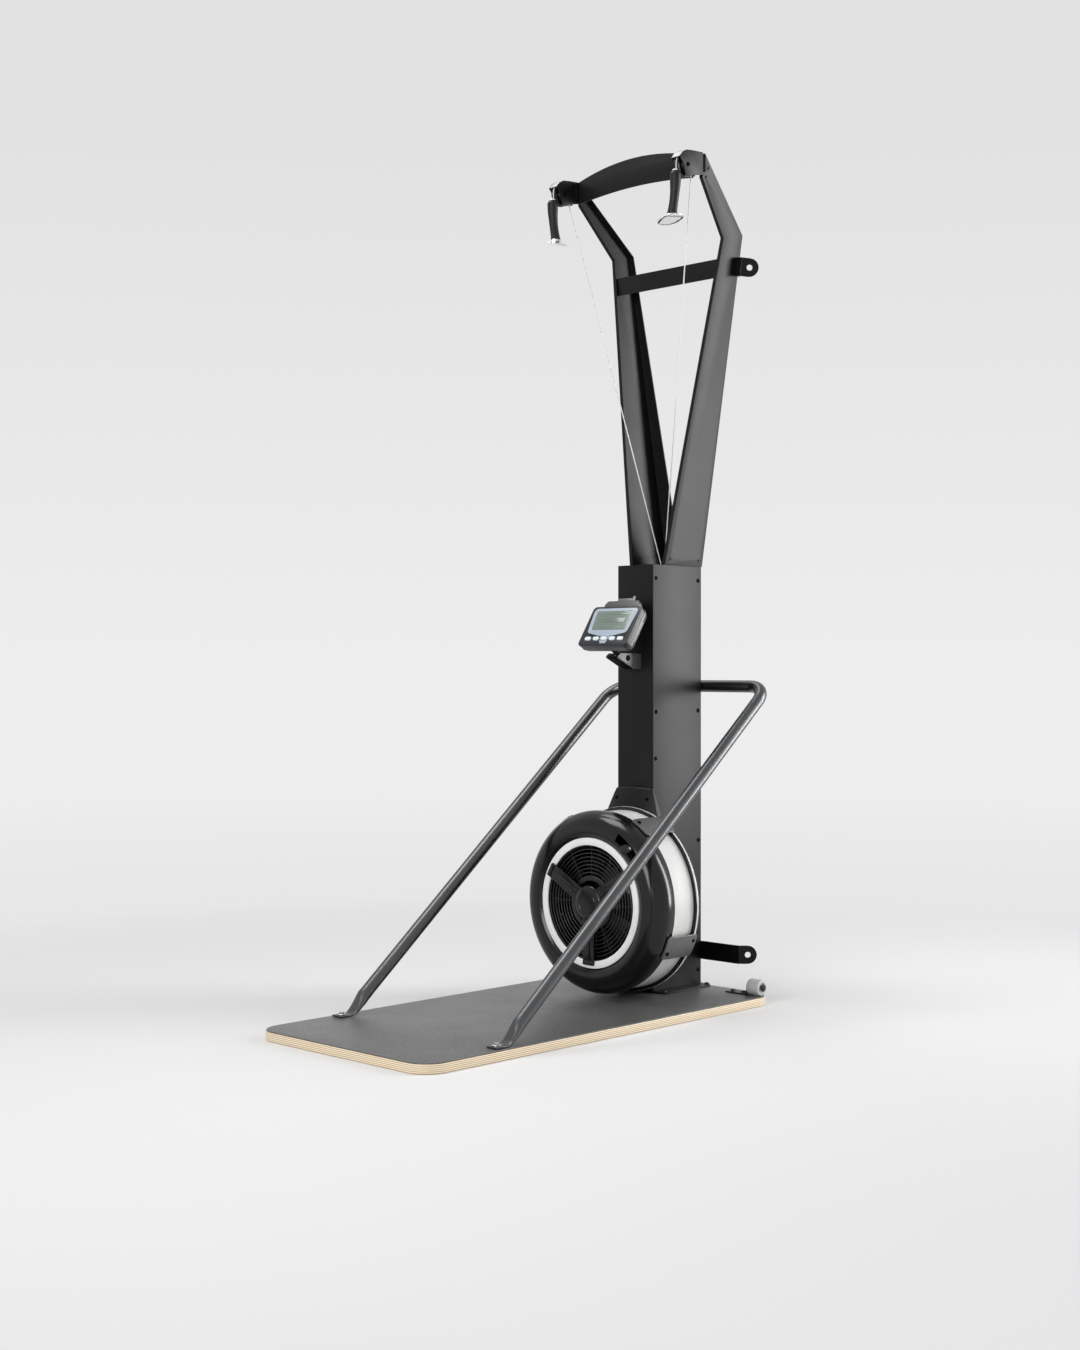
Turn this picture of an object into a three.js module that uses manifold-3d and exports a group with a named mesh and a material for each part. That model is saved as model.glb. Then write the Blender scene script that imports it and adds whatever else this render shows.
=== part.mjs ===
// Ski trainer machine: plywood platform, sheet-steel column, air fan, forked arms, two cord handles.
// Millimetres, +Z up. The user stands on the platform and faces +Y, with +X to the right.
// The origin is on the floor, at the centre of the platform's underside.

import * as THREE from "three";
import { mergeVertices } from "three/addons/utils/BufferGeometryUtils.js";
import Module from "manifold-3d";

// Fits and facets
const seat = 0.3; // gap between a piece and what carries it
const overrun = 6; // how far a cutter runs past the faces that it cuts
const runningGap = 1.2; // radial gap round a turning piece
const fine = 28; // sides of a large round form
const medium = 20; // sides of a form that a hand covers
const round = 16; // sides of a wheel or a boss
const small = 10; // sides of a small one
const hex = 6; // sides of a bolt head
const arcSteps = 2; // steps round half a corner of a plate
const cornerSteps = 4; // steps round half a corner of the platform

// Platform
const platformLength = 1270;
const platformWidth = 619;
const platformCorner = 65;
const boardThickness = 22;
const matThickness = 2.2;
const matInset = 1.5;

// Transport rollers in the rear corners of the platform
const rollerRadius = 21.5;
const rollerWidth = 40;
const rollerSideSet = 27.5; // from the platform's side edge to the roller's middle
const rollerBackSet = 45; // from the platform's back edge to the roller's axis
const rollerLift = 1; // from the deck to the roller
const rollerPinRadius = 5;
const rollerSideGap = 1.5;
const rollerEarThickness = 3;
const rollerPlateLength = 72;
const rollerPlateDepth = 34;

// Column
const columnWidth = 127;
const columnDepth = 204;
const columnBackSet = 13; // from the platform's back edge to the column's back
const columnTop = 1186.6;
const sheet = 2;
const spineSheet = 3;
const footThickness = 4;
const footWidth = 200;
const footDepth = 204;
const footCorner = 18;
const footBoltInset = 12;
const coverFlange = 26;
const spineFlange = 40;
const cordSlotWidth = 44;
const cordSlotDepth = 26;
const upstandHeight = 30;

// Arms: channels folded from sheet, their webs tilted outwards
const armFlareShare = 0.1587; // outward run of the web for each unit of height
const armSheet = 3;
const armFootDepth = 158; // from front edge to rear edge at the column top
const armRearSet = 3; // rear flange behind the column's back
const armElbowRise = 879; // height of the front elbow over the column top
const armElbowRearRise = 898;
const armElbowDepth = 78; // from the front elbow to the rear flange
const armNoseReach = 195; // from the rear flange to the upright top edge
const armNoseRise = 1017; // height of the foot of the upright top edge
const armTipRise = 1077.9;
const armFrontFlange = 11;
const armRearFlangeLow = 55;
const armRearFlangeHigh = 17;
const armBoltRadius = 4;

// Bars between the arms
const crossbarHeight = 50;
const crossbarThickness = 4;
const crossbarRise = 801; // height of its middle over the column top
const bandThickness = 5;
const bandTabDepth = 16;
const bandTabThickness = 3;
const bandHeight = 78; // at the middle
const bandEndHeight = 61;
const bandCrown = 31; // rise of the top edge from the ends to the middle
const bandTopRise = 1107.4; // height of the crown over the column top
const bandAhead = 8; // from the band's front to the rear edge of the heads' side plates

// Pulley heads
const headOffset = 222; // from the middle plane to each pulley
const headWidth = 30;
const headSheet = 2.5;
const headRise = 1035.5; // height of the pulley axis over the column top
const headGap = 12; // between the side plates and the arm's tip
const headReach = 61.5; // from the pulley axis back to the side plate's rear edge
const headCrown = 43; // from the pulley axis up to the plate's top
const headTopShares = [ // the plate's upper edge, from its rear edge to its nose, about the pulley axis
  [1, 1], [0.293, 0.93], [-0.065, 0.872], [-0.341, 0.674], [-0.49, 0.47], [-0.545, 0.36],
];
const headLowShares = [ // its lower edge, from the nose to its rear edge
  [-0.325, 0], [-0.25, -0.42], [-0.146, -0.744], [1, -0.372],
];
const headBlockWidth = 22;
const headBlockHeight = 46;
const pulleyPitch = 30;
const pulleyFlange = 32;
const pulleyWidth = 14;
const pulleyBore = 6;

// Cords and handles
const cordRadius = 2;
const cordSides = 8;
const cordBend = 120;
const cordBendSteps = [7, 7, 2, 2, 2];
const cordTopSpread = 5; // from the middle plane to each cord at the column's top
const cordTopBackSet = 88; // from the column's back to the cords
const handleDrop = 16.5; // from the pulley axis to the top of the grip
const handleAhead = 3.2; // from the cord to the grip's middle line
const gripLength = 115;
const gripRadius = 14.5;
const gripLean = 12; // inward run of the grip from its top to its base
const gripBow = 4;
const gripShares = [ // along the length, of the radius
  [0, 0.36], [0.05, 0.66], [0.11, 1], [0.3, 0.98], [0.5, 0.86], [0.72, 0.82], [0.9, 0.86], [1, 0.92],
];
const baseRadius = 35.5;
const baseHeight = 19;
const baseLean = 7; // inward run of the base
const baseCant = THREE.MathUtils.degToRad(13); // outward tilt of the base's rim
const baseShares = [ // down the height, of the radius, of the tilt
  [0, 0.38, 0], [0.34, 0.44, 0.45], [0.58, 0.86, 0.95], [0.68, 1, 1], [0.84, 0.9, 1], [1, 0.5, 1],
];

// Rail: one bent tube with flattened ends
const railRadius = 17;
const railSides = 12;
const railSideSet = 29.5; // from the platform's side edge to the tube's centre line
const railBend = 62;
const railTopRise = 855.4; // height of its level part
const railBehind = 23; // from the column's back to the tube's centre line
const railRunShare = 1.21875; // forward run for each unit of height
const railEndRise = 68; // height of the centre line where the flattening starts
const railTongue = 5; // thickness of its flattened end
const railTongueRun = 89; // from where the flattening starts to the tongue's front edge
const tongueShares = [ // along the run, down the drop, of the tube's width, of its depth, squareness, turn
  [-0.09, -0.162, 1, 1, 0, 0], [0, 0, 1, 1, 0, 0], [0.18, 0.442, 1, 0.555, 0.3, 0.05],
  [0.37, 0.835, 1, 0.203, 0.5, 0.45], [0.53, 1, 1, 0, 0.6, 1], [1, 1, 1, 0, 0.6, 1],
];
const railWasher = 12;
const railBoltBack = 18; // from the tongue's front edge to its bolt
const saddleWidth = 56;
const saddleHeight = 50;

// Wall straps
const strapHeight = 50;
const strapThickness = 4;
const strapHalfLength = 198;
const strapRise = 121;
const strapTab = 50;
const strapTabAngle = THREE.MathUtils.degToRad(45);
const strapHoleRadius = 8.5;
const upperTabRise = 814; // over the column top
const upperTabReach = 20; // from the arm's web to the bend
const upperTabSet = 15; // from the arm's rear flange to the tab

// Fan
const fanDeckGap = 7; // from the mat to the fan's rim
const fanFrontSet = 185; // from the column's front to the intake ring's front
const shellRadius = 245;
const shellFace = 71; // from the shell's side in to the ring
const shellWall = 3;
const ringWidth = 20;
const ringThickness = 4;
const lipInset = 3.5; // the radii of the lip and the band inside the shell's
const shellDepth = 67; // from the intake ring's front to the shell's rear edge
const shellCrest = 5; // how far the crest stands before the ring
const bandInset = 5.2;
const exhaustWidth = 76.5;
const rimLap = 4; // the rear shell's rim beyond the front shell
const rimWidth = 15;
const rearHub = 46;
const guardStep = 10;
const guardRings = 8;
const guardWire = 1.5; // half the width of a wire
const guardSpokes = 6;
const guardSteps = 3; // steps of a ring between two spokes
const ledgeWidth = 6; // of the shell's ledge, which carries the white ring and the guard's rim
const hubRadius = 47;
const hubHeight = 10;
const spiderArmWidth = 40;
const spiderLap = 11; // how far an arm reaches over the ring
const spiderThickness = 5;
const spiderShoe = 14; // length of the shoe that holds the ring
const damperHubGap = 15;
const damperRingGap = 2;
const damperThickness = 2.5;
const damperWindows = 8;
const damperAngle = THREE.MathUtils.degToRad(47);
const damperKnobSet = 33; // from the ring out to the knob
const damperKnobRadius = 7;
const damperKnobProud = 16;
const damperSlotTurn = THREE.MathUtils.degToRad(14);
const damperSlotWidth = 11;
const clipAngles = { upper_right: 56.5, lower_right: -24.6, lower_left: 204.6, upper_left: 123.5 };
const clipHalfAngle = THREE.MathUtils.degToRad(7.6);
const clipThickness = 4;
const clipCorner = 9;
const clipFootLength = 16;
const clipAhead = 22; // how far it reaches over the front shell
const neckHeight = 53; // from the fan's rim to the neck's top
const neckCrown = 7; // rise of the top edge's curve
const neckHalfTop = 61;
const neckHalfFlare = 93;
const neckFlareDrop = 60; // from the top to where the flare ends
const neckFrontSet = 35;
const neckRound = 226; // radius of the bulged front in plan

// Flywheel and drive
const wheelGap = 13.8; // from the vanes' tips to the exhaust band
const wheelHub = 34;
const wheelBack = 8; // gap from the wheel's disc to the rear shell
const wheelDisc = 4;
const vaneDepth = 78;
const vaneInner = 96;
const vaneThickness = 2;
const vaneCount = 24;
const vaneSweep = THREE.MathUtils.degToRad(14);
const axleRadius = 8;
const axleNose = 20; // from the axle's end to the hub cover
const bearingRadius = 21;
const bearingWidth = 14;
const cradlePlate = 5;
const cradleLength = 134;
const cradleHalfWidth = 45;
const cradleHalfHeight = 62;
const drumRadius = 30;
const drumFlange = 37;
const drumWidth = 26;
const drumFlangeWidth = 3;
const drumSpacing = 36;
const drumGap = 0.7; // radial gap between a drum and the axle

// Monitor
const monitorWidth = 175;
const monitorHeight = 128;
const monitorTilt = THREE.MathUtils.degToRad(33.6);
const monitorFaceReach = 104.5; // from the column's front to the middle of the face
const monitorRise = 1019.3;
const monitorCorner = 14;
const bezelDepth = 16;
const backDepth = 24;
const backInset = 6;
const lensWidth = 140; // along its top edge
const lensLowShare = 0.9; // its lower edge's share of that
const lensHeight = 74;
const lensCorner = 12;
const lensUp = 17; // middle of the lens over the middle of the face
const lensThickness = 1.6;
const buttonWidth = 21;
const buttonHeight = 11;
const buttonProud = 2.6;
const buttonStep = 29;
const buttonDown = 41;
const buttonGap = 0.6;
const buttonPocket = 7;
const pivotReach = 55; // from the column's front to the pivot
const pivotRise = 932.5;
const pivotRadius = 4;
const bracketHalfWidth = 22;
const bracketSheet = 2.5;
const bracketReach = 96; // how far the cheeks stand before the column
const bracketDrop = 29.5; // from the pivot down to the cheeks' lower edge
const bracketShares = [ // the cheek's outline: along the reach, over the pivot as a share of the drop
  [0, 0.44], [0, -1], [0.31, -1], [1, 0.034], [0.99, 0.2], [0.875, 0.44],
];
const lugWidth = 12;
const lugRadius = 11;

// Places worked out from the sizes above
const backEdge = platformLength / 2;
const sideEdge = platformWidth / 2;
const rollerCentreX = sideEdge - rollerSideSet;
const railHalfWidth = sideEdge - railSideSet;
const deckTop = boardThickness + seat + matThickness;
const columnBack = backEdge - columnBackSet;
const columnFront = columnBack - columnDepth;
const columnFoot = deckTop + seat + footThickness + seat;
const columnSide = columnWidth / 2;
const columnInside = columnSide - sheet - seat;
const armRear = columnBack + armRearSet;
const armTilt = Math.atan(armFlareShare);
const armLean = 1 / Math.cos(armTilt); // length along the web for each unit of height
const headBack = armRear - armNoseReach - seat; // rear face of the head's mounting block
const headRear = headBack - headGap;
const pulleyY = headRear - headReach;
const pulleyZ = columnTop + headRise;
const cordFrontY = pulleyY - pulleyPitch;
const cordRearY = pulleyY + pulleyPitch;
const ringOuter = shellRadius - shellFace;
const ringInner = ringOuter - ringWidth;
const lipRadius = shellRadius - lipInset;
const bandRadius = shellRadius - bandInset;
const rimRadius = shellRadius + rimLap;
const wheelRadius = bandRadius - wheelGap;
const fanRise = deckTop + fanDeckGap + rimRadius;
const spiderReach = ringInner + spiderLap;
const damperInner = hubRadius + damperHubGap;
const damperOuter = ringInner - damperRingGap;
const damperKnobReach = ringOuter + damperKnobSet;
const fanFront = columnFront - fanFrontSet;
const shellBack = fanFront + shellDepth;
const guardPlane = fanFront + ringThickness + seat + shellWall + seat; // front of the wires
const damperPlane = guardPlane + 2 * guardWire + seat;
const tongueDrop = railEndRise - deckTop - seat - railTongue / 2; // from the tube to the flat tongue
const exhaustBack = shellBack + seat + exhaustWidth;
const rearFront = exhaustBack + seat;
const rearBack = columnFront - seat;
const wheelFace = rearFront - wheelBack;

// Materials
function paint(color, roughness, metalness) {
  return new THREE.MeshStandardMaterial({ color, roughness, metalness });
}
const finish = {
  ply: paint(0xd8bd8c, 0.6, 0),
  mat: paint(0x4b4c4c, 0.95, 0),
  coat: paint(0x26272a, 0.45, 0.3),
  blackPlastic: paint(0x1a1a1b, 0.35, 0),
  rubber: paint(0x141414, 0.8, 0),
  white: paint(0xe6e6e4, 0.5, 0),
  silver: paint(0xc9cbcc, 0.35, 0.9),
  tube: paint(0x55575a, 0.25, 0.95),
  chrome: paint(0xd7d9db, 0.12, 1),
  steel: paint(0x8f9295, 0.35, 0.9),
  aluminium: paint(0xa8abad, 0.4, 0.9),
  cord: paint(0xdcdcd8, 0.8, 0),
  bezel: paint(0x23262b, 0.4, 0),
  lens: paint(0x6f8076, 0.15, 0),
  key: paint(0xc9d2cf, 0.5, 0),
  roller: paint(0x9b9d9e, 0.6, 0),
};

// Closed meshes and booleans
const wasm = await Module();
wasm.setup();

function welded(geometry) {
  const bare = geometry.index ? geometry.toNonIndexed() : geometry.clone();
  bare.deleteAttribute("normal");
  bare.deleteAttribute("uv");
  const merged = mergeVertices(bare);
  const place = merged.attributes.position;
  const kept = [];
  const a = new THREE.Vector3();
  const b = new THREE.Vector3();
  const c = new THREE.Vector3();
  let volume = 0;
  for (let i = 0; i < merged.index.count; i += 3) {
    const [p, q, r] = [0, 1, 2].map((k) => merged.index.getX(i + k));
    if (p === q || q === r || r === p) continue;
    kept.push(p, q, r);
    a.fromBufferAttribute(place, p);
    b.fromBufferAttribute(place, q);
    c.fromBufferAttribute(place, r);
    volume += a.dot(b.cross(c));
  }
  if (volume < 0) kept.reverse();
  merged.setIndex(kept);
  return merged;
}

function toSolid(geometry) {
  const mesh = welded(geometry);
  const vertProperties = new Float32Array(mesh.attributes.position.array);
  const triVerts = new Uint32Array(mesh.index.array);
  return new wasm.Manifold(new wasm.Mesh({ numProp: 3, vertProperties, triVerts }));
}

function fromSolid(solid) {
  const mesh = solid.getMesh();
  const geometry = new THREE.BufferGeometry();
  geometry.setAttribute("position", new THREE.BufferAttribute(mesh.vertProperties, 3));
  geometry.setIndex(new THREE.BufferAttribute(mesh.triVerts, 1));
  return geometry;
}

function meet(one, other) {
  return fromSolid(toSolid(one).intersect(toSolid(other)));
}

function join(...parts) {
  return fromSolid(parts.map(toSolid).reduce((sum, part) => sum.add(part)));
}

function cut(body, ...cutters) {
  return fromSolid(cutters.map(toSolid).reduce((rest, cutter) => rest.subtract(cutter), toSolid(body)));
}

// Placing and mirroring
const at = (geometry, x, y, z) => geometry.clone().translate(x, y, z);

function mirrored(geometry) {
  return geometry.clone().applyMatrix4(new THREE.Matrix4().makeScale(-1, 1, 1));
}

function forSide(side, geometry) {
  return side > 0 ? geometry : mirrored(geometry);
}

// Outlines
function outline(points) {
  return new THREE.Shape(points.map(([u, v]) => new THREE.Vector2(u, v)));
}

function roundedRect(width, height, radius, corners = [1, 1, 1, 1]) {
  const [w, h] = [width / 2, height / 2];
  const shape = new THREE.Shape();
  const turn = Math.PI / 2;
  const places = [[w, h], [-w, h], [-w, -h], [w, -h]];
  places.forEach(([x, y], i) => {
    const r = radius * corners[i];
    if (r === 0) {
      if (i === 0) shape.moveTo(x, y);
      else shape.lineTo(x, y);
    } else {
      shape.absarc(x - Math.sign(x) * r, y - Math.sign(y) * r, r, i * turn, (i + 1) * turn, false);
    }
  });
  shape.closePath();
  return shape;
}

function hole(shape, x, y, radius) {
  shape.holes.push(new THREE.Path().absarc(x, y, radius, 0, 2 * Math.PI, true));
  return shape;
}

// Plates: an outline in one plane, extruded square to it between two places
const basisOf = (x, y, z) => new THREE.Matrix4().makeBasis(x, y, z);
const unitX = new THREE.Vector3(1, 0, 0);
const unitY = new THREE.Vector3(0, 1, 0);
const unitZ = new THREE.Vector3(0, 0, 1);

function extruded(shape, depth, curveSegments) {
  return new THREE.ExtrudeGeometry(shape, { depth, bevelEnabled: false, curveSegments });
}

function plateXY(shape, low, high, curveSegments = arcSteps) {
  return extruded(shape, high - low, curveSegments).translate(0, 0, low);
}

function plateXZ(shape, low, high, curveSegments = arcSteps) {
  const turned = basisOf(unitX, unitZ, unitY.clone().negate());
  return extruded(shape, high - low, curveSegments).applyMatrix4(turned).translate(0, high, 0);
}

function plateYZ(shape, low, high, curveSegments = arcSteps) {
  const turned = basisOf(unitY, unitZ, unitX);
  return extruded(shape, high - low, curveSegments).applyMatrix4(turned).translate(low, 0, 0);
}

function block(x0, x1, y0, y1, z0, z1) {
  const box = new THREE.BoxGeometry(x1 - x0, y1 - y0, z1 - z0);
  return box.translate((x0 + x1) / 2, (y0 + y1) / 2, (z0 + z1) / 2);
}

// Round forms
function bar(from, to, radius, sides = round) {
  const start = new THREE.Vector3(...from);
  const run = new THREE.Vector3(...to).sub(start);
  const turn = new THREE.Quaternion().setFromUnitVectors(unitY, run.clone().normalize());
  const middle = start.add(run.clone().multiplyScalar(0.5));
  const rod = new THREE.CylinderGeometry(radius, radius, run.length(), sides);
  return rod.applyQuaternion(turn).translate(...middle);
}

function revolvedY(profile, sides = fine) {
  return new THREE.LatheGeometry(profile.map(([r, y]) => new THREE.Vector2(r, y)), sides);
}

function loft(rings) {
  const sides = rings[0].length;
  const points = rings.flat();
  const faces = [];
  for (let i = 0; i + 1 < rings.length; i += 1) {
    for (let j = 0; j < sides; j += 1) {
      const k = (j + 1) % sides;
      const [a, b, c, d] = [i * sides + j, i * sides + k, (i + 1) * sides + k, (i + 1) * sides + j];
      faces.push(a, b, c, a, c, d);
    }
  }
  for (let j = 1; j + 1 < sides; j += 1) {
    const last = (rings.length - 1) * sides;
    faces.push(0, j + 1, j, last, last + j, last + j + 1);
  }
  const geometry = new THREE.BufferGeometry().setFromPoints(points);
  geometry.setIndex(faces);
  return geometry;
}

// A route of straight legs and round bends, sampled where it turns
class Route extends THREE.Curve {
  constructor(corners, bendRadius, bendSteps) {
    super();
    this.samples = [];
    const places = corners.map((corner) => new THREE.Vector3(...corner));
    this.samples.push([places[0], places[1].clone().sub(places[0]).normalize()]);
    for (let i = 1; i + 1 < places.length; i += 1) {
      const before = places[i].clone().sub(places[i - 1]).normalize();
      const after = places[i + 1].clone().sub(places[i]).normalize();
      const turn = before.angleTo(after);
      const radius = Array.isArray(bendRadius) ? bendRadius[i - 1] : bendRadius;
      const steps = Array.isArray(bendSteps) ? bendSteps[i - 1] : bendSteps;
      const start = places[i].clone().addScaledVector(before, -radius * Math.tan(turn / 2));
      const axis = before.clone().cross(after).normalize();
      const centre = start.clone().addScaledVector(axis.clone().cross(before), radius);
      for (let k = 0; k <= steps; k += 1) {
        const angle = (turn * k) / steps;
        const spoke = start.clone().sub(centre).applyAxisAngle(axis, angle);
        this.samples.push([centre.clone().add(spoke), before.clone().applyAxisAngle(axis, angle)]);
      }
    }
    const last = places.length - 1;
    this.samples.push([places[last], places[last].clone().sub(places[last - 1]).normalize()]);
  }

  get steps() {
    return this.samples.length - 1;
  }

  getPoint(share) {
    return this.samples[Math.round(share * this.steps)][0].clone();
  }

  getPointAt(share) {
    return this.getPoint(share);
  }

  getTangentAt(share) {
    return this.samples[Math.round(share * this.steps)][1].clone();
  }
}

function tube(route, radius, sides) {
  const section = new THREE.Shape();
  for (let i = 0; i < sides; i += 1) {
    const angle = (2 * Math.PI * i) / sides;
    const [u, v] = [radius * Math.cos(angle), radius * Math.sin(angle)];
    if (i === 0) section.moveTo(u, v);
    else section.lineTo(u, v);
  }
  section.closePath();
  return new THREE.ExtrudeGeometry(section, { steps: route.steps, extrudePath: route, bevelEnabled: false });
}

// The assembly
const machine = new THREE.Group();

function add(name, material, geometry, parent = machine) {
  const mesh = new THREE.Mesh(welded(geometry), material);
  mesh.name = name;
  parent.add(mesh);
  return mesh;
}

const sides = { left: -1, right: 1 };

// Bolt heads and nuts, fused to the piece that they hold
const boltAcross = 6.5;
const boltHead = 4.5;

function boltUp(x, y, z, radius = boltAcross, height = boltHead) {
  return bar([x, y, z - height], [x, y, z + height], radius, hex);
}

// Platform: board and mat
function addPlatform() {
  const whole = roundedRect(platformWidth, platformLength, platformCorner);
  const board = plateXY(whole, 0, boardThickness, cornerSteps);
  const [w, l] = [platformWidth - 2 * matInset, platformLength - 2 * matInset];
  const inset = roundedRect(w, l, platformCorner - matInset);
  const mat = plateXY(inset, boardThickness + seat, deckTop, cornerSteps);
  add("platform_board", finish.ply, board);
  add("platform_mat", finish.mat, mat);
}

// Rollers: a wheel on a pin, held by a bracket screwed to the deck
function addRollers() {
  const y = backEdge - rollerBackSet;
  const z = deckTop + rollerLift + rollerRadius;
  const [x0, x1] = [rollerCentreX - rollerWidth / 2, rollerCentreX + rollerWidth / 2];
  const edge = rollerWidth / 10;
  const bore = rollerPinRadius + seat;
  const wheel = revolvedY([
    [bore, x0], [rollerRadius - edge, x0], [rollerRadius, x0 + edge], [rollerRadius, x1 - edge],
    [rollerRadius - edge, x1], [bore, x1], [bore, x0],
  ], round).rotateZ(-Math.PI / 2).translate(0, y, z);
  const deck = deckTop + seat;
  const ear = x0 - rollerSideGap;
  const plateBack = y + rollerPlateDepth / 2;
  const plate = block(ear - rollerPlateLength, ear, plateBack - rollerPlateDepth, plateBack, deck,
    deck + rollerEarThickness);
  const half = rollerPlateDepth / 2;
  const cheek = plateYZ(outline([
    [y - half, deck], [y + half, deck], [y + half / 2, z + half / 2], [y - half / 2, z + half / 2],
  ]), ear - rollerEarThickness, ear);
  const pin = bar([ear - rollerEarThickness, y, z], [x1 + 2 * rollerSideGap, y, z], rollerPinRadius, small);
  const head = bar([x1 + rollerSideGap, y, z], [x1 + 3 * rollerSideGap, y, z], 2 * rollerPinRadius, small);
  const bolts = [0.3, 0.8].map((share) => {
    const x = ear - rollerPlateLength * share;
    const top = deck + rollerEarThickness + boltHead;
    return bar([x, y, deck + rollerEarThickness / 2], [x, y, top], boltAcross, hex);
  });
  const bracket = join(plate, cheek, pin, head, ...bolts);
  for (const [word, side] of Object.entries(sides)) {
    add(`transport_roller_${word}`, finish.roller, forSide(side, wheel));
    add(`roller_bracket_${word}`, finish.coat, forSide(side, bracket));
  }
}

// Column: foot plate, rear spine, front cover, side panels, top plate with the arms' upstands
function addColumn() {
  const footLow = deckTop + seat;
  const footShape = roundedRect(footWidth, footDepth, footCorner);
  const footMiddle = columnBack + sheet - footDepth / 2 + footBoltInset / 2;
  const [bx, by] = [footWidth / 2 - footBoltInset, footDepth / 2 - footBoltInset];
  const foot = at(plateXY(footShape, footLow, footLow + footThickness), 0, footMiddle, 0);
  const boltTop = footLow + footThickness + boltHead;
  const bolts = [[bx, by], [bx, -by], [-bx, by], [-bx, -by]].map(([x, y]) => bar(
    [x, footMiddle + y, footLow + footThickness / 2], [x, footMiddle + y, boltTop], boltAcross, hex,
  ));
  add("column_foot", finish.coat, join(foot, ...bolts));

  const axleHole = bar(
    [0, columnFront - overrun, fanRise], [0, columnFront + coverFlange, fanRise], rearHub, round,
  );
  const high = columnTop - armSheet - seat;
  const coverWall = block(-columnInside, columnInside, columnFront, columnFront + sheet, columnFoot, high);
  const coverFlanges = [-1, 1].map((side) => forSide(side, block(
    columnInside - sheet, columnInside, columnFront, columnFront + coverFlange, columnFoot, high,
  )));
  add("column_front_cover", finish.coat, cut(join(coverWall, ...coverFlanges), axleHole));

  const spineWall = block(
    -columnInside, columnInside, columnBack - spineSheet, columnBack, columnFoot, high,
  );
  const spineFlanges = [-1, 1].map((side) => forSide(side, block(
    columnInside - spineSheet, columnInside, columnBack - spineFlange, columnBack, columnFoot, high,
  )));
  add("column_spine", finish.coat, join(spineWall, ...spineFlanges, railSaddle()));

  const panel = block(columnSide - sheet, columnSide, columnFront, columnBack, columnFoot, columnTop);
  for (const [word, side] of Object.entries(sides)) {
    add(`column_panel_${word}`, finish.coat, forSide(side, panel));
  }

  const inset = armSheet + seat;
  const upFront = armRear - armFootDepth + inset + armSheet;
  const upBack = armRear - inset;
  const upX = columnSide - inset * armLean;
  const rise = upstandHeight;
  const slot = roundedRect(cordSlotWidth, cordSlotDepth, cordSlotDepth / 2 - seat);
  const slotY = columnTopCord()[1];
  const base = cut(
    block(-columnInside, columnInside, columnFront, columnBack, columnTop - armSheet, columnTop),
    at(plateXY(slot, columnTop - armSheet - overrun, columnTop + overrun), 0, slotY, 0),
  );
  const upstands = [-1, 1].map((side) => forSide(side, plateXZ(outline([
    [upX - armSheet, columnTop - armSheet], [upX, columnTop - armSheet / 2],
    [upX + rise * armFlareShare, columnTop + rise],
    [upX + rise * armFlareShare - armSheet, columnTop + rise],
  ]), upFront, upBack)));
  add("column_top_plate", finish.coat, join(base, ...upstands));
}

// Arms: web and flanges in the web's own plane, then tilted about the column's top edge
function strip(points, thickness) {
  const inner = points.map(([u, v], i) => {
    const before = points[Math.max(i - 1, 0)];
    const after = points[Math.min(i + 1, points.length - 1)];
    const run = new THREE.Vector2(after[0] - before[0], after[1] - before[1]).normalize();
    return [u - run.y * thickness, v + run.x * thickness];
  });
  return outline([...points, ...inner.reverse()]);
}

function inArmPlane(geometry) {
  return geometry.clone().rotateY(armTilt).translate(columnSide, 0, columnTop + seat);
}

function armOutline() {
  const along = (rise) => (rise - seat) * armLean;
  return {
    footFront: [armRear - armFootDepth, 0],
    elbowFront: [armRear - armElbowDepth, along(armElbowRise)],
    noseLow: [armRear - armNoseReach, along(armNoseRise)],
    tip: [armRear - armNoseReach, along(armTipRise)],
    elbowRear: [armRear, along(armElbowRearRise)],
    footRear: [armRear, 0],
  };
}

function addArms() {
  const { footFront, elbowFront, noseLow, tip, elbowRear, footRear } = armOutline();
  const side = outline([footFront, footRear, elbowRear, tip, noseLow, elbowFront]);
  const web = plateYZ(side, -armSheet, 0);
  const prism = plateYZ(side, -armRearFlangeLow, 0);
  const frontStrip = strip([tip, noseLow, elbowFront, footFront], armSheet);
  const frontFlange = meet(plateYZ(frontStrip, -armFrontFlange, 0), prism);
  const upperRear = meet(plateYZ(strip([elbowRear, tip], armSheet), -armRearFlangeHigh, 0), prism);
  const lowerRear = plateXZ(
    outline([[-armRearFlangeLow, 0], [0, 0], [0, elbowRear[1]], [-armRearFlangeHigh, elbowRear[1]]]),
    armRear - armSheet, armRear,
  );
  const screws = [
    [footFront[0] + armFrontFlange * 2, armRearFlangeHigh],
    [footRear[0] - armFrontFlange * 1.5, armRearFlangeHigh],
    [tip[0] + armFrontFlange * 2, tip[1] - 2 * armRearFlangeHigh],
    [tip[0] + armFrontFlange * 1.5, noseLow[1] + armBoltRadius],
  ].map(([y, s]) => bar([-armSheet / 2, y, s], [armBoltRadius / 2, y, s], armBoltRadius, hex));
  const arm = inArmPlane(join(web, frontFlange, upperRear, lowerRear, ...screws));
  for (const [word, side] of Object.entries(sides)) add(`arm_${word}`, finish.coat, forSide(side, arm));
}

// Crossbar behind the arms' front flanges, and the arched band before their tips
function frontEdgeY(rise) {
  return armRear - armFootDepth + ((armFootDepth - armElbowDepth) * rise) / armElbowRise;
}

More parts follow.
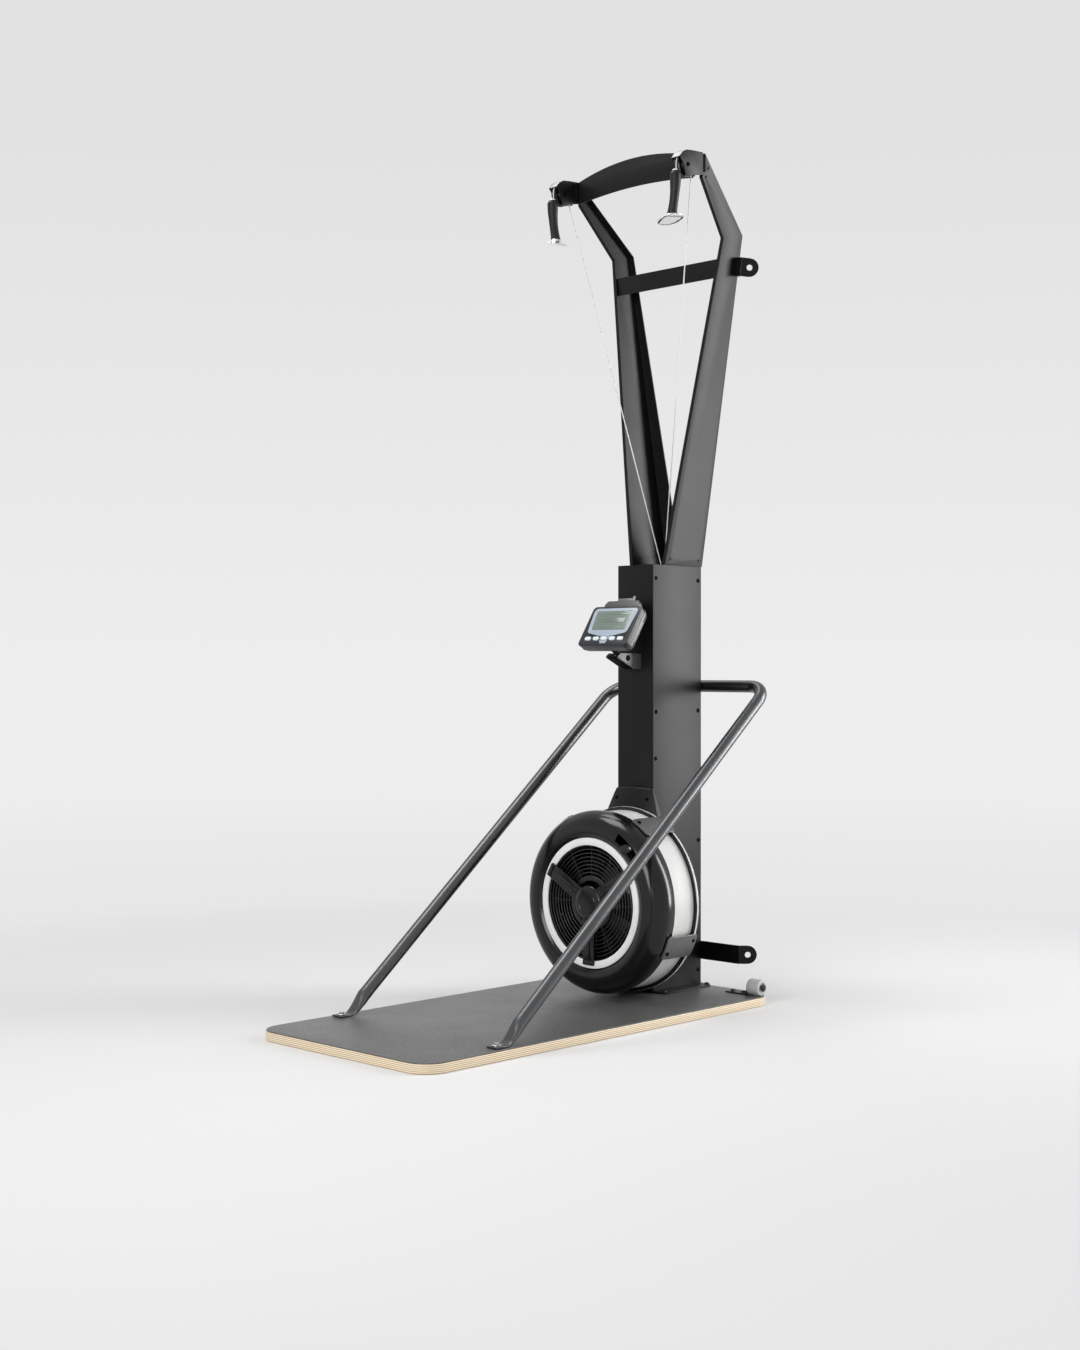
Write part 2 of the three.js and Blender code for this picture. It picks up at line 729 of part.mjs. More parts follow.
function addBars() {
  const rise = crossbarRise;
  const y0 = frontEdgeY(rise + crossbarHeight / 2) + armSheet + seat;
  const halfAt = (r) => columnSide + (r - seat) * armFlareShare - (armSheet + seat) * armLean;
  const [low, high] = [rise - crossbarHeight / 2, rise + crossbarHeight / 2];
  const face = outline([
    [-halfAt(low), columnTop + low], [halfAt(low), columnTop + low],
    [halfAt(high), columnTop + high], [-halfAt(high), columnTop + high],
  ]);
  add("crossbar", finish.coat, plateXZ(face, y0, y0 + crossbarThickness));

  const halfBand = headOffset - headWidth / 2 - seat;
  const bandFront = headRear - bandAhead;
  const bandBack = bandFront + bandThickness;
  const top = columnTop + bandTopRise;
  const bottomEnd = top - bandCrown - bandEndHeight;
  const shape = new THREE.Shape();
  shape.moveTo(halfBand, bottomEnd);
  shape.lineTo(halfBand, top - bandCrown);
  shape.quadraticCurveTo(0, top + bandCrown, -halfBand, top - bandCrown);
  shape.lineTo(-halfBand, bottomEnd);
  shape.quadraticCurveTo(0, 2 * (top - bandHeight) - bottomEnd, halfBand, bottomEnd);
  const tab = block(
    halfBand - bandTabThickness, halfBand, bandBack - bandTabDepth, bandBack,
    pulleyZ - bandTabDepth / 2, top - bandCrown - bandTabThickness,
  );
  add("head_band", finish.coat, join(plateXZ(shape, bandFront, bandBack, small), tab, mirrored(tab)));
}

// Pulley heads: a hooded bracket round a grooved pulley
function headPoint([backShare, riseShare], inset) {
  const [back, rise] = [headReach * backShare, headCrown * riseShare];
  const share = 1 - inset / Math.hypot(back, rise);
  return [pulleyY + back * share, pulleyZ + rise * share];
}

function addHeads() {
  const half = headWidth / 2;
  const body = plateYZ(outline([...headTopShares, ...headLowShares].map((point) => headPoint(point, 0))),
    headOffset - half, headOffset + half);
  const [nose, rear] = [pulleyY - 2 * pulleyFlange, headRear + overrun];
  const roof = headTopShares.map((point) => headPoint(point, headSheet));
  const hollowShape = outline([
    [rear, roof[0][1]], ...roof.slice(1, -1), [nose, pulleyZ + pulleyFlange / 4],
    [nose, pulleyZ - 2 * pulleyFlange], [rear, pulleyZ - 2 * pulleyFlange],
  ]);
  const hollow = plateYZ(hollowShape, headOffset - half + headSheet, headOffset + half - headSheet);
  const blockTop = pulleyZ + headCrown - headSheet;
  const mount = block(
    headOffset - headBlockWidth / 2, headOffset + headBlockWidth / 2, headRear - headSheet / 2, headBack,
    blockTop - headBlockHeight, blockTop,
  );
  const wall = block(
    headOffset - half + headSheet / 2, headOffset + half - headSheet / 2, headRear - headSheet, headRear,
    blockTop - headBlockHeight, blockTop + headSheet / 2,
  );
  const bolt = bar(
    [headOffset - half - headSheet, pulleyY, pulleyZ], [headOffset + half + headSheet, pulleyY, pulleyZ],
    pulleyBore - seat, small,
  );
  const top = boltUp(headOffset, headRear + headGap / 2, blockTop, headGap / 2.2, 2 * headSheet);
  const bracket = join(cut(body, hollow), mount, wall, bolt, top);
  const [w, g] = [pulleyWidth / 2, pulleyWidth / 7];
  const groove = pulleyPitch - cordRadius - seat;
  const pulley = revolvedY([
    [pulleyBore, -w], [pulleyFlange, -w], [pulleyFlange, -w + g], [groove, -g], [groove, g],
    [pulleyFlange, w - g], [pulleyFlange, w], [pulleyBore, w], [pulleyBore, -w],
  ], round).rotateZ(-Math.PI / 2).translate(headOffset, pulleyY, pulleyZ);
  for (const [word, side] of Object.entries(sides)) {
    add(`head_bracket_${word}`, finish.coat, forSide(side, bracket));
    add(`head_pulley_${word}`, finish.blackPlastic, forSide(side, pulley));
  }
}

// Cords: from the handle over the head pulley, down through the column top to a drum on the axle
function columnTopCord() {
  return [cordTopSpread, columnBack - cordTopBackSet, columnTop];
}

function drumY(side) {
  return columnFront + cradleLength / 2 + (side * drumSpacing) / 2;
}

function addCords() {
  const [topX, topY, topZ] = columnTopCord();
  const cordReach = drumRadius + cordRadius + seat;
  const top = pulleyZ + pulleyPitch;
  const bends = [pulleyPitch, pulleyPitch, cordBend, cordBend, cordBend];
  for (const [word, side] of Object.entries(sides)) {
    const corners = [
      [side * headOffset, cordFrontY, pulleyZ - handleDrop + seat],
      [side * headOffset, cordFrontY, top],
      [side * headOffset, cordRearY, top],
      [side * headOffset, cordRearY, pulleyZ - pulleyPitch / 2],
      [side * topX, topY, topZ],
      [cordReach, drumY(side), fanRise + 2 * drumFlange],
      [cordReach, drumY(side), fanRise],
    ];
    add(`cord_${word}`, finish.cord, tube(new Route(corners, bends, cordBendSteps), cordRadius, cordSides));
  }
}

// Handles: a bowed, waisted grip and a canted, flared base
function tiltedRing(centre, radius, cant, count) {
  return Array.from({ length: count }, (_, k) => {
    const angle = (2 * Math.PI * k) / count;
    const spoke = new THREE.Vector3(radius * Math.cos(angle), radius * Math.sin(angle), 0);
    return spoke.applyAxisAngle(unitY, -cant).add(centre);
  });
}

function addHandles() {
  const top = pulleyZ - handleDrop;
  const y = cordFrontY - handleAhead;
  const grip = loft(gripShares.map(([share, width]) => {
    const x = headOffset - gripLean * share + gripBow * Math.sin(Math.PI * share);
    return tiltedRing(new THREE.Vector3(x, y, top - gripLength * share), gripRadius * width, 0, round);
  }));
  const low = top - gripLength - seat;
  const base = loft(baseShares.map(([share, width, turn]) => tiltedRing(
    new THREE.Vector3(headOffset - gripLean - baseLean * share, y, low - baseHeight * share),
    baseRadius * width, baseCant * turn, medium,
  )));
  for (const [word, side] of Object.entries(sides)) {
    add(`handle_grip_${word}`, finish.rubber, forSide(side, grip));
    add(`handle_base_${word}`, finish.chrome, forSide(side, base));
  }
}

// Rail: one bent tube, its ends flattened into tongues, each held by a washer and a nut
function railY(rise) {
  return columnBack + railBehind - (railTopRise - rise) * railRunShare;
}

function tongueRing([run, drop, wide, deep, square, turn]) {
  const slope = Math.atan2(1, railRunShare) * (1 - turn);
  const power = (value) => Math.sign(value) * Math.abs(value) ** (1 - square);
  const depth = railTongue / 2 + (railRadius - railTongue / 2) * deep;
  const y = railY(railEndRise) - railTongueRun * run;
  const z = railEndRise - tongueDrop * drop;
  return Array.from({ length: railSides }, (_, k) => {
    const angle = (2 * Math.PI * k) / railSides;
    const [u, v] = [railRadius * wide * power(Math.cos(angle)), depth * power(Math.sin(angle))];
    return new THREE.Vector3(railHalfWidth + u, y - v * Math.sin(slope), z + v * Math.cos(slope));
  });
}

function addRail() {
  const end = [railHalfWidth, railY(railEndRise), railEndRise];
  const corner = [railHalfWidth, columnBack + railBehind, railTopRise];
  const other = ([x, y, z]) => [-x, y, z];
  const route = new Route([end, corner, other(corner), other(end)], railBend, hex);
  const body = tube(route, railRadius, railSides);
  const tongue = loft(tongueShares.map(tongueRing));
  add("rail_tube", finish.tube, join(body, tongue, mirrored(tongue)));

  const tongueTop = deckTop + seat + railTongue + seat;
  const y = railY(railEndRise) - railTongueRun + railBoltBack;
  const washer = bar(
    [railHalfWidth, y, tongueTop], [railHalfWidth, y, tongueTop + sheet], railWasher, small,
  );
  const nut = bar(
    [railHalfWidth, y, tongueTop + sheet / 2], [railHalfWidth, y, tongueTop + sheet + boltHead],
    boltAcross, hex,
  );
  for (const [word, side] of Object.entries(sides)) {
    add(`rail_fixing_${word}`, finish.steel, forSide(side, join(washer, nut)));
  }
}

// Saddle that carries the rail, welded to the column's back
function railSaddle() {
  const [low, high] = [railTopRise - saddleHeight / 2, railTopRise + saddleHeight / 2];
  const y = columnBack + railBehind;
  const body = block(-saddleWidth / 2, saddleWidth / 2, columnBack - spineSheet / 2, y, low, high);
  const trough = bar(
    [-saddleWidth, y, railTopRise], [saddleWidth, y, railTopRise], railRadius + seat, medium,
  );
  return cut(body, trough);
}

// Straps that fasten the machine to a wall, with bent-back tabs
function strapEnd(length, height) {
  const shape = new THREE.Shape();
  const h = height / 2;
  shape.moveTo(0, h);
  shape.lineTo(0, -h);
  shape.absarc(length - h, 0, h, -Math.PI / 2, Math.PI / 2, false);
  shape.closePath();
  hole(shape, length - h, 0, strapHoleRadius);
  return plateXZ(shape, 0, strapThickness, hex - 2);
}

function bentTab(x, y, z) {
  return at(strapEnd(strapTab, strapHeight).rotateZ(strapTabAngle), x, y, z);
}

function addStraps() {
  const y = columnBack + seat;
  const flat = block(-strapHalfLength, strapHalfLength, y, y + strapThickness, strapRise - strapHeight / 2,
    strapRise + strapHeight / 2);
  const bend = strapThickness / 2;
  const tab = bentTab(strapHalfLength - bend, y + strapThickness * 0.1, strapRise);
  add("wall_bar", finish.coat, join(flat, tab, mirrored(tab)));

  const tabY = armRear - upperTabSet;
  const s = (upperTabRise - seat) * armLean;
  const h = strapHeight / 2;
  const leg = block(seat, seat + strapThickness, tabY, tabY + upperTabReach, s - h, s + h);
  const arm = block(seat, upperTabReach, tabY, tabY + strapThickness, s - h, s + h);
  const upper = at(strapEnd(strapTab, strapHeight).rotateZ(strapTabAngle), upperTabReach - bend,
    tabY + strapThickness * 0.1, s);
  const boltY = tabY + upperTabReach / 2 + bend;
  const legBolt = bar([seat, boltY, s], [seat + 2 * strapThickness, boltY, s], armBoltRadius, hex);
  const piece = inArmPlane(join(leg, arm, upper, legBolt));
  for (const [word, side] of Object.entries(sides)) {
    add(`wall_tab_${word}`, finish.coat, forSide(side, piece));
  }
}

// Fan: front shell, intake ring, guard, hub cover, damper, exhaust band, rear shell, clips, neck
function fanPlaced(geometry) {
  return at(geometry, 0, 0, fanRise);
}

function shellProfile(inset) {
  const crest = fanFront - shellCrest;
  const half = (shellRadius - ringOuter) / 2;
  const shares = [[0, 0.12], [0.26, 0], [0.62, 0.06], [0.9, 0.3], [1, 0.62]];
  const depth = shellBack - crest;
  const points = shares.map(([across, along]) => [
    ringOuter + 2 * half * across - inset * (0.3 + 0.7 * across),
    crest + depth * along + inset * (1 - along),
  ]);
  points.push([lipRadius - inset, shellBack]);
  return points;
}

function ringSector(inner, outer, from, to, steps) {
  const shape = new THREE.Shape();
  shape.absarc(0, 0, outer, from, to, false);
  shape.absarc(0, 0, inner, to, from, true);
  shape.closePath();
  return { shape, steps };
}

function sectorPlate(inner, outer, from, to, low, high, steps) {
  return plateXZ(ringSector(inner, outer, from, to).shape, low, high, steps);
}

function addFanShells() {
  const ledge = fanFront + ringThickness + seat;
  const outer = shellProfile(0);
  const inner = shellProfile(shellWall).filter((_, i) => i % 2 === 1).reverse();
  const lip = [[ringOuter - shellWall, ledge + shellWall], [ringOuter - ledgeWidth, ledge + shellWall],
    [ringOuter - ledgeWidth, ledge], [ringOuter + seat, ledge]];
  const profile = [...outer, ...inner, ...lip, outer[0]];
  const slot = sectorPlate(
    damperKnobReach - damperSlotWidth, damperKnobReach + damperSlotWidth, damperAngle - damperSlotTurn,
    damperAngle + damperSlotTurn, fanFront - shellDepth, fanFront + shellDepth / 2, 2,
  );
  add("fan_front_shell", finish.blackPlastic, fanPlaced(cut(revolvedY(profile), slot)));

  const bevel = ringThickness / 4;
  add("fan_intake_ring", finish.white, fanPlaced(revolvedY([
    [ringInner, fanFront + bevel], [ringInner + bevel, fanFront], [ringOuter - bevel, fanFront],
    [ringOuter - seat, fanFront + bevel], [ringOuter - seat, fanFront + ringThickness],
    [ringInner, fanFront + ringThickness], [ringInner, fanFront + bevel],
  ])));

  const exhaust = revolvedY([
    [bandRadius - sheet, shellBack + seat], [bandRadius, shellBack + seat], [bandRadius, exhaustBack],
    [bandRadius - sheet, exhaustBack], [bandRadius - sheet, shellBack + seat],
  ]);
  add("fan_exhaust_band", finish.silver, fanPlaced(exhaust));

  const dish = rearBack - rearFront;
  add("fan_rear_shell", finish.blackPlastic, fanPlaced(revolvedY([
    [rimRadius, rearFront], [rimRadius, rearFront + rimWidth], [rimRadius * 0.9, rearFront + dish * 0.7],
    [rimRadius * 0.6, rearBack], [rearHub, rearBack], [rearHub, rearBack - shellWall],
    [rimRadius * 0.6, rearBack - shellWall], [rimRadius * 0.89, rearFront + dish * 0.7 - shellWall],
    [bandRadius - 2 * sheet, rearFront], [rimRadius, rearFront],
  ])));
}

function addFanGuard() {
  const arc = (radius, from, to, steps) => Array.from({ length: steps + 1 }, (_, k) => {
    const angle = from + ((to - from) * k) / steps;
    return new THREE.Vector2(radius * Math.cos(angle), radius * Math.sin(angle));
  });
  const rim = new THREE.Shape(arc(ringOuter - ledgeWidth / 2, 0, 2 * Math.PI, fine).slice(0, -1));
  const pitch = (2 * Math.PI) / guardSpokes;
  for (let i = 0; i < guardRings; i += 1) {
    const outer = ringInner - 2 * guardWire - i * guardStep;
    const inner = outer - guardStep + 2 * guardWire;
    for (let k = 0; k < guardSpokes; k += 1) {
      const [from, to] = [k * pitch, (k + 1) * pitch];
      const near = arc(inner, from + guardWire / inner, to - guardWire / inner, guardSteps).reverse();
      const far = arc(outer, from + guardWire / outer, to - guardWire / outer, guardSteps);
      rim.holes.push(new THREE.Path([...far, ...near]));
    }
  }
  add("fan_guard", finish.blackPlastic, fanPlaced(plateXZ(rim, guardPlane, guardPlane + 2 * guardWire)));
}

function addHubCover() {
  const face = fanFront - seat;
  const hub = revolvedY([
    [0, face], [hubRadius, face], [hubRadius, face - hubHeight * 0.45],
    [hubRadius * 0.92, face - hubHeight * 0.8], [hubRadius * 0.66, face - hubHeight], [0, face - hubHeight],
  ], medium);
  const half = spiderArmWidth / 2;
  const arm = plateXZ(outline([
    [0, -half], [spiderReach * 0.98, -half], [spiderReach, -half * 0.8],
    [spiderReach, half * 0.8], [spiderReach * 0.98, half], [0, half],
  ]), face - spiderThickness, face);
  const ridge = plateXZ(outline([
    [0, -half / 3], [ringInner, -half / 5], [ringInner, half / 5], [0, half / 3],
  ]), face - spiderThickness * 1.5, face - spiderThickness / 2);
  const shoe = plateXZ(outline([
    [spiderReach - spiderShoe, -half * 0.9], [spiderReach - seat, -half * 0.7],
    [spiderReach - seat, half * 0.7], [spiderReach - spiderShoe, half * 0.9],
  ]), face - spiderThickness * 1.4, face - spiderThickness / 2);
  const arms = [0, 1, 2].flatMap((i) => {
    const angle = -Math.PI / 6 - (i * 2 * Math.PI) / 3;
    return [arm, ridge, shoe].map((piece) => piece.clone().rotateY(angle));
  });
  const core = bar([0, face - sheet, 0], [0, guardPlane - seat, 0], hubRadius * 0.6, round);
  add("fan_hub_cover", finish.blackPlastic, fanPlaced(join(hub, core, ...arms)));
}

function addDamper() {
  const low = damperPlane;
  const high = low + damperThickness;
  const disc = revolvedY([
    [damperInner, low], [damperOuter, low], [damperOuter, high], [damperInner, high], [damperInner, low],
  ]);
  const pitch = (2 * Math.PI) / damperWindows;
  const edge = (damperOuter - damperInner) / 8;
  const windows = Array.from({ length: damperWindows }, (_, i) => sectorPlate(
    damperInner + edge, damperOuter - edge, i * pitch, (i + 0.5) * pitch, low - overrun, high + overrun, 1,
  ));
  const lever = plateXZ(outline([
    [damperOuter - edge, -damperKnobRadius], [damperKnobReach, -damperKnobRadius],
    [damperKnobReach, damperKnobRadius], [damperOuter - edge, damperKnobRadius],
  ]), low, high).rotateY(-damperAngle);
  const [kx, kz] = [damperKnobReach * Math.cos(damperAngle), damperKnobReach * Math.sin(damperAngle)];
  const front = fanFront - shellCrest - damperKnobProud;
  const stem = bar([kx, front, kz], [kx, high, kz], damperKnobRadius, small);
  add("fan_damper", finish.blackPlastic, fanPlaced(join(cut(disc, ...windows), lever, stem)));
}

function addClips() {
  const inner = rimRadius + seat;
  const outer = inner + clipThickness;
  const [low, high] = [shellBack - clipAhead, rearFront + rimWidth];
  const [width, length] = [2 * clipHalfAngle * outer, high - low];
  const rounded = plateXY(
    roundedRect(width, length, clipCorner), inner - clipThickness, outer + clipThickness, 1,
  ).rotateY(Math.PI / 2).translate(0, low + length / 2, 0);
  Object.entries(clipAngles).forEach(([word, degrees], i) => {
    const middle = THREE.MathUtils.degToRad(degrees);
    const [from, to] = [middle - clipHalfAngle, middle + clipHalfAngle];
    const strap = sectorPlate(inner, outer, from, to, low + clipFootLength, high, 2);
    const foot = sectorPlate(
      shellRadius + seat, outer - clipThickness / 3, from, to, low, low + 2 * clipFootLength, 1,
    );
    const side = i % 2 === 0 ? 1 : -1;
    const bolts = [[low + clipCorner, side], [high - clipCorner, -side]].map(([y, way]) => {
      const angle = middle + (way * clipHalfAngle) / 2;
      const [c, s] = [Math.cos(angle), Math.sin(angle)];
      const proud = outer + sheet / 2;
      return bar([inner * c, y, inner * s], [proud * c, y, proud * s], armBoltRadius, hex);
    });
    const band = meet(join(strap, foot), rounded.clone().rotateY(-middle));
    add(`fan_clip_${word}`, finish.blackPlastic, fanPlaced(join(band, ...bolts)));
  });
}

function addNeck() {
  const top = fanRise + rimRadius + neckHeight;
  const flare = top - neckFlareDrop;
  const shape = new THREE.Shape();
  shape.moveTo(neckHalfTop, top - neckCrown);
  shape.quadraticCurveTo(0, top + neckCrown, -neckHalfTop, top - neckCrown);
  shape.quadraticCurveTo(-neckHalfFlare, top - 2 * neckCrown, -neckHalfFlare, flare);
  shape.lineTo(-neckHalfFlare, fanRise);
  shape.lineTo(neckHalfFlare, fanRise);
  shape.lineTo(neckHalfFlare, flare);
  shape.quadraticCurveTo(neckHalfFlare, top - 2 * neckCrown, neckHalfTop, top - neckCrown);
  const front = columnFront - neckFrontSet;
  const sag = (x) => neckRound - Math.sqrt(neckRound ** 2 - x ** 2);
  const centre = front + neckRound;
  const bulge = bar([0, centre, fanRise], [0, centre, top + neckCrown], neckRound, 3 * fine);
  const body = meet(plateXZ(shape, front, columnFront - seat, hex), bulge);
  const fanCut = bar(
    [0, front - overrun, fanRise], [0, columnFront + overrun, fanRise], rimRadius + seat, 2 * fine,
  );
  const inTop = top - neckCrown - shellWall;
  const [inSide, inUp] = [neckHalfFlare - 2 * shellWall, neckHalfTop - shellWall];
  const hollow = plateXZ(outline([
    [-inUp, inTop], [-inSide, flare], [-inSide, fanRise], [inSide, fanRise], [inSide, flare], [inUp, inTop],
  ]), front + sag(neckHalfFlare) + shellWall, columnFront + overrun);
  const screwX = neckHalfTop * 0.86;
  const screwZ = fanRise + rimRadius + neckHeight * 0.3;
  const y = front + sag(screwX);
  const screws = [-1, 1].map((side) => bar(
    [side * screwX, y - sheet / 2, screwZ], [side * screwX, y + shellWall, screwZ], armBoltRadius, small,
  ));
  add("neck_cover", finish.blackPlastic, join(cut(body, fanCut, hollow), ...screws));
}

// Flywheel on its axle, the cradle with two bearings, and the cord drums
function addDrive() {
  const hubFront = wheelFace - wheelDisc - vaneDepth * 0.6;
  const disc = revolvedY([
    [0, wheelFace], [wheelRadius, wheelFace], [wheelRadius, wheelFace - wheelDisc],
    [wheelHub * 1.4, wheelFace - wheelDisc], [wheelHub, wheelFace - 3 * wheelDisc], [wheelHub, hubFront],
    [0, hubFront],
  ]);
  const vaneLow = wheelFace - wheelDisc - vaneDepth;
  const vanes = Array.from({ length: vaneCount }, (_, i) => {
    const angle = (2 * Math.PI * i) / vaneCount;
    const point = (r, turn, side) => [
      r * Math.cos(angle + turn) - (side * vaneThickness * Math.sin(angle + turn)) / 2,
      r * Math.sin(angle + turn) + (side * vaneThickness * Math.cos(angle + turn)) / 2,
    ];
    const middle = (vaneInner + wheelRadius) / 2;
    const stations = [[vaneInner, 0], [middle, vaneSweep * 0.4], [wheelRadius * 0.99, vaneSweep]];
    const shape = outline([
      ...stations.map(([r, turn]) => point(r, turn, -1)),
      ...stations.map(([r, turn]) => point(r, turn, 1)).reverse(),
    ]);
    return plateXZ(shape, vaneLow, wheelFace - wheelDisc / 2);
  });
  const bore = bar([0, hubFront - overrun, 0], [0, wheelFace + overrun, 0], axleRadius + seat, small);
  add("flywheel", finish.aluminium, fanPlaced(cut(join(disc, ...vanes), bore)));

  const cradleFront = columnFront + sheet + seat;
  const cradleBack = cradleFront + cradleLength;
  const nose = guardPlane + axleNose;
  const axle = bar([0, nose, 0], [0, cradleBack + cradlePlate, 0], axleRadius, small);
  const collar = bar([0, nose, 0], [0, hubFront - seat, 0], axleRadius * 1.5, small);
  add("flywheel_axle", finish.steel, fanPlaced(join(axle, collar)));

  const bearing = (y) => revolvedY([
    [axleRadius + seat, y], [bearingRadius, y], [bearingRadius, y + bearingWidth],
    [axleRadius + seat, y + bearingWidth], [axleRadius + seat, y],
  ], round);
  const frontBearing = cradleFront + cradlePlate + seat;
  const rearBearing = cradleBack - cradlePlate - seat - bearingWidth;
  add("bearing_front", finish.steel, fanPlaced(bearing(frontBearing)));
  add("bearing_rear", finish.steel, fanPlaced(bearing(rearBearing)));

  const wall = (y) => plateXZ(hole(roundedRect(2 * cradleHalfWidth, 2 * cradleHalfHeight, 0), 0, 0,
    axleRadius + runningGap), y, y + cradlePlate, hex);
  const cup = (y) => revolvedY([
    [bearingRadius + seat, y], [bearingRadius + cradlePlate, y],
    [bearingRadius + cradlePlate, y + bearingWidth], [bearingRadius + seat, y + bearingWidth],
    [bearingRadius + seat, y],
  ], round);
  const floor = block(-cradleHalfWidth, cradleHalfWidth, cradleFront, columnBack - spineSheet - seat,
    -cradleHalfHeight, -cradleHalfHeight + cradlePlate);
  add("axle_cradle", finish.steel, fanPlaced(join(
    wall(cradleFront), wall(cradleBack - cradlePlate), floor,
    cup(frontBearing - seat - seat), cup(rearBearing + seat + seat),
  )));

  const bored = axleRadius + drumGap;
  const w = drumWidth / 2;
  const drum = revolvedY([
    [bored, -w], [drumFlange, -w], [drumFlange, -w + drumFlangeWidth], [drumRadius, -w + drumFlangeWidth],
    [drumRadius, w - drumFlangeWidth], [drumFlange, w - drumFlangeWidth], [drumFlange, w], [bored, w],
    [bored, -w],
  ], small);
  for (const [word, side] of Object.entries(sides)) {
    add(`cord_drum_${word}`, finish.blackPlastic, fanPlaced(at(drum, 0, drumY(side), 0)));
  }
}

// Monitor: two-part case, lens, five keys, on a pivot between the cheeks of its bracket
function addMonitor() {
  const face = new THREE.Group();
  face.position.set(0, columnFront - monitorFaceReach, monitorRise);
  face.rotation.x = -monitorTilt;
  machine.add(face);

  const bezelShape = roundedRect(monitorWidth, monitorHeight, monitorCorner);
  const lensShape = (grow) => {
    const [w, h] = [lensWidth / 2 + grow, lensHeight / 2 + grow];
    const [low, cutX, cutZ] = [w * lensLowShare, lensCorner * 0.7, lensCorner * 0.5];
    return outline([
      [w, h - cutZ], [w - cutX, h], [cutX - w, h], [-w, h - cutZ], [-low, cutZ - h], [cutX - low, -h],
      [low - cutX, -h], [low, cutZ - h],
    ]);
  };
  const lensPocket = at(plateXZ(lensShape(seat), -overrun, lensThickness + seat), 0, 0, lensUp);
  const keyShape = roundedRect(buttonWidth, buttonHeight, buttonHeight * 0.45);
  const [holeWidth, holeHeight] = [buttonWidth + 2 * buttonGap, buttonHeight + 2 * buttonGap];
  const holeShape = roundedRect(holeWidth, holeHeight, buttonHeight * 0.45);
  const places = [-2, -1, 0, 1, 2].map((i) => i * buttonStep);
  const pockets = places.map((x) => at(plateXZ(holeShape, -overrun, buttonPocket, 1), x, 0, -buttonDown));
  const bezel = cut(plateXZ(bezelShape, 0, bezelDepth), lensPocket, ...pockets);
  add("monitor_front_case", finish.bezel, bezel, face);
  add("monitor_lens", finish.lens, at(plateXZ(lensShape(0), 0, lensThickness), 0, 0, lensUp), face);
  places.forEach((x, i) => {
    const key = at(plateXZ(keyShape, -buttonProud, buttonPocket - buttonProud, 1), x, 0, -buttonDown);
    add(`monitor_key_${i + 1}`, finish.key, key, face);
  });

  const backLow = bezelDepth + seat;
  const ringAt = (y, inset) => {
    const edge = roundedRect(monitorWidth - 2 * inset, monitorHeight - 2 * inset, monitorCorner);
    return edge.extractPoints(arcSteps).shape.slice(0, -1).map((p) => new THREE.Vector3(p.x, y, p.y));
  };
  const shell = loft([
    ringAt(backLow, 0), ringAt(backLow + backDepth * 0.25, 0), ringAt(backLow + backDepth * 0.8, backInset),
    ringAt(backLow + backDepth, 2 * backInset),
  ]);
  const clipWidth = (monitorWidth * 2) / 3;
  const clip = block(-clipWidth / 2, clipWidth / 2, backLow + backInset, backLow + backDepth * 0.7,
    monitorHeight / 2 - 2 * backInset, monitorHeight / 2 + backInset * 1.3);
  const local = new THREE.Vector3(0, monitorFaceReach - pivotReach, pivotRise - monitorRise)
    .applyAxisAngle(unitX, monitorTilt);
  const lugTop = -monitorHeight / 2 + 3 * backInset;
  const lug = join(
    bar([-lugWidth, local.y, local.z], [lugWidth, local.y, local.z], lugRadius, round),
    block(-lugWidth, lugWidth, Math.min(local.y, backLow + backDepth / 2) - lugRadius / 2,
      local.y + lugRadius, local.z, lugTop),
  );
  const bore = bar(
    [-2 * lugWidth, local.y, local.z], [2 * lugWidth, local.y, local.z], pivotRadius + seat, small,
  );
  const [wide, tall] = [monitorWidth, 2 * monitorHeight];
  const below = block(-wide, wide, -tall, backLow, -tall, tall);
  add("monitor_rear_case", finish.bezel, cut(join(shell, clip, lug), bore, below), face);

  const pivotY = columnFront - pivotReach;
  const bracketPoints = bracketShares.map(([ahead, rise]) => [
    columnFront - seat - (bracketReach - seat) * ahead, pivotRise + bracketDrop * rise,
  ]);
  const cheek = plateYZ(outline(bracketPoints), bracketHalfWidth - bracketSheet, bracketHalfWidth);
  const half = bracketHalfWidth;
  const backPlate = block(
    -half, half, columnFront - seat - bracketSheet, columnFront - seat,
    bracketPoints[1][1], bracketPoints[0][1],
  );
  const pin = bar([-half, pivotY, pivotRise], [half, pivotY, pivotRise], pivotRadius, small);
  const heads = [-1, 1].map((side) => bar([side * (bracketHalfWidth - seat), pivotY, pivotRise],
    [side * (bracketHalfWidth + boltHead), pivotY, pivotRise], boltAcross, hex));
  add("monitor_bracket", finish.coat, join(cheek, mirrored(cheek), backPlate, pin, ...heads));
}

addPlatform();
addRollers();
addColumn();
addArms();
addBars();
addHeads();
addCords();
addHandles();
addRail();
addStraps();
addFanShells();
addFanGuard();
addHubCover();
addDamper();
addClips();
addNeck();
addDrive();
addMonitor();

export default machine;
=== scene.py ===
"""Dressed scene of the ski trainer machine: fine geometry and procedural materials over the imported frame."""

from math import asin, atan2, copysign, cos, hypot, pi, radians, sin, tan

import bmesh
import bpy
from mathutils import Matrix, Vector


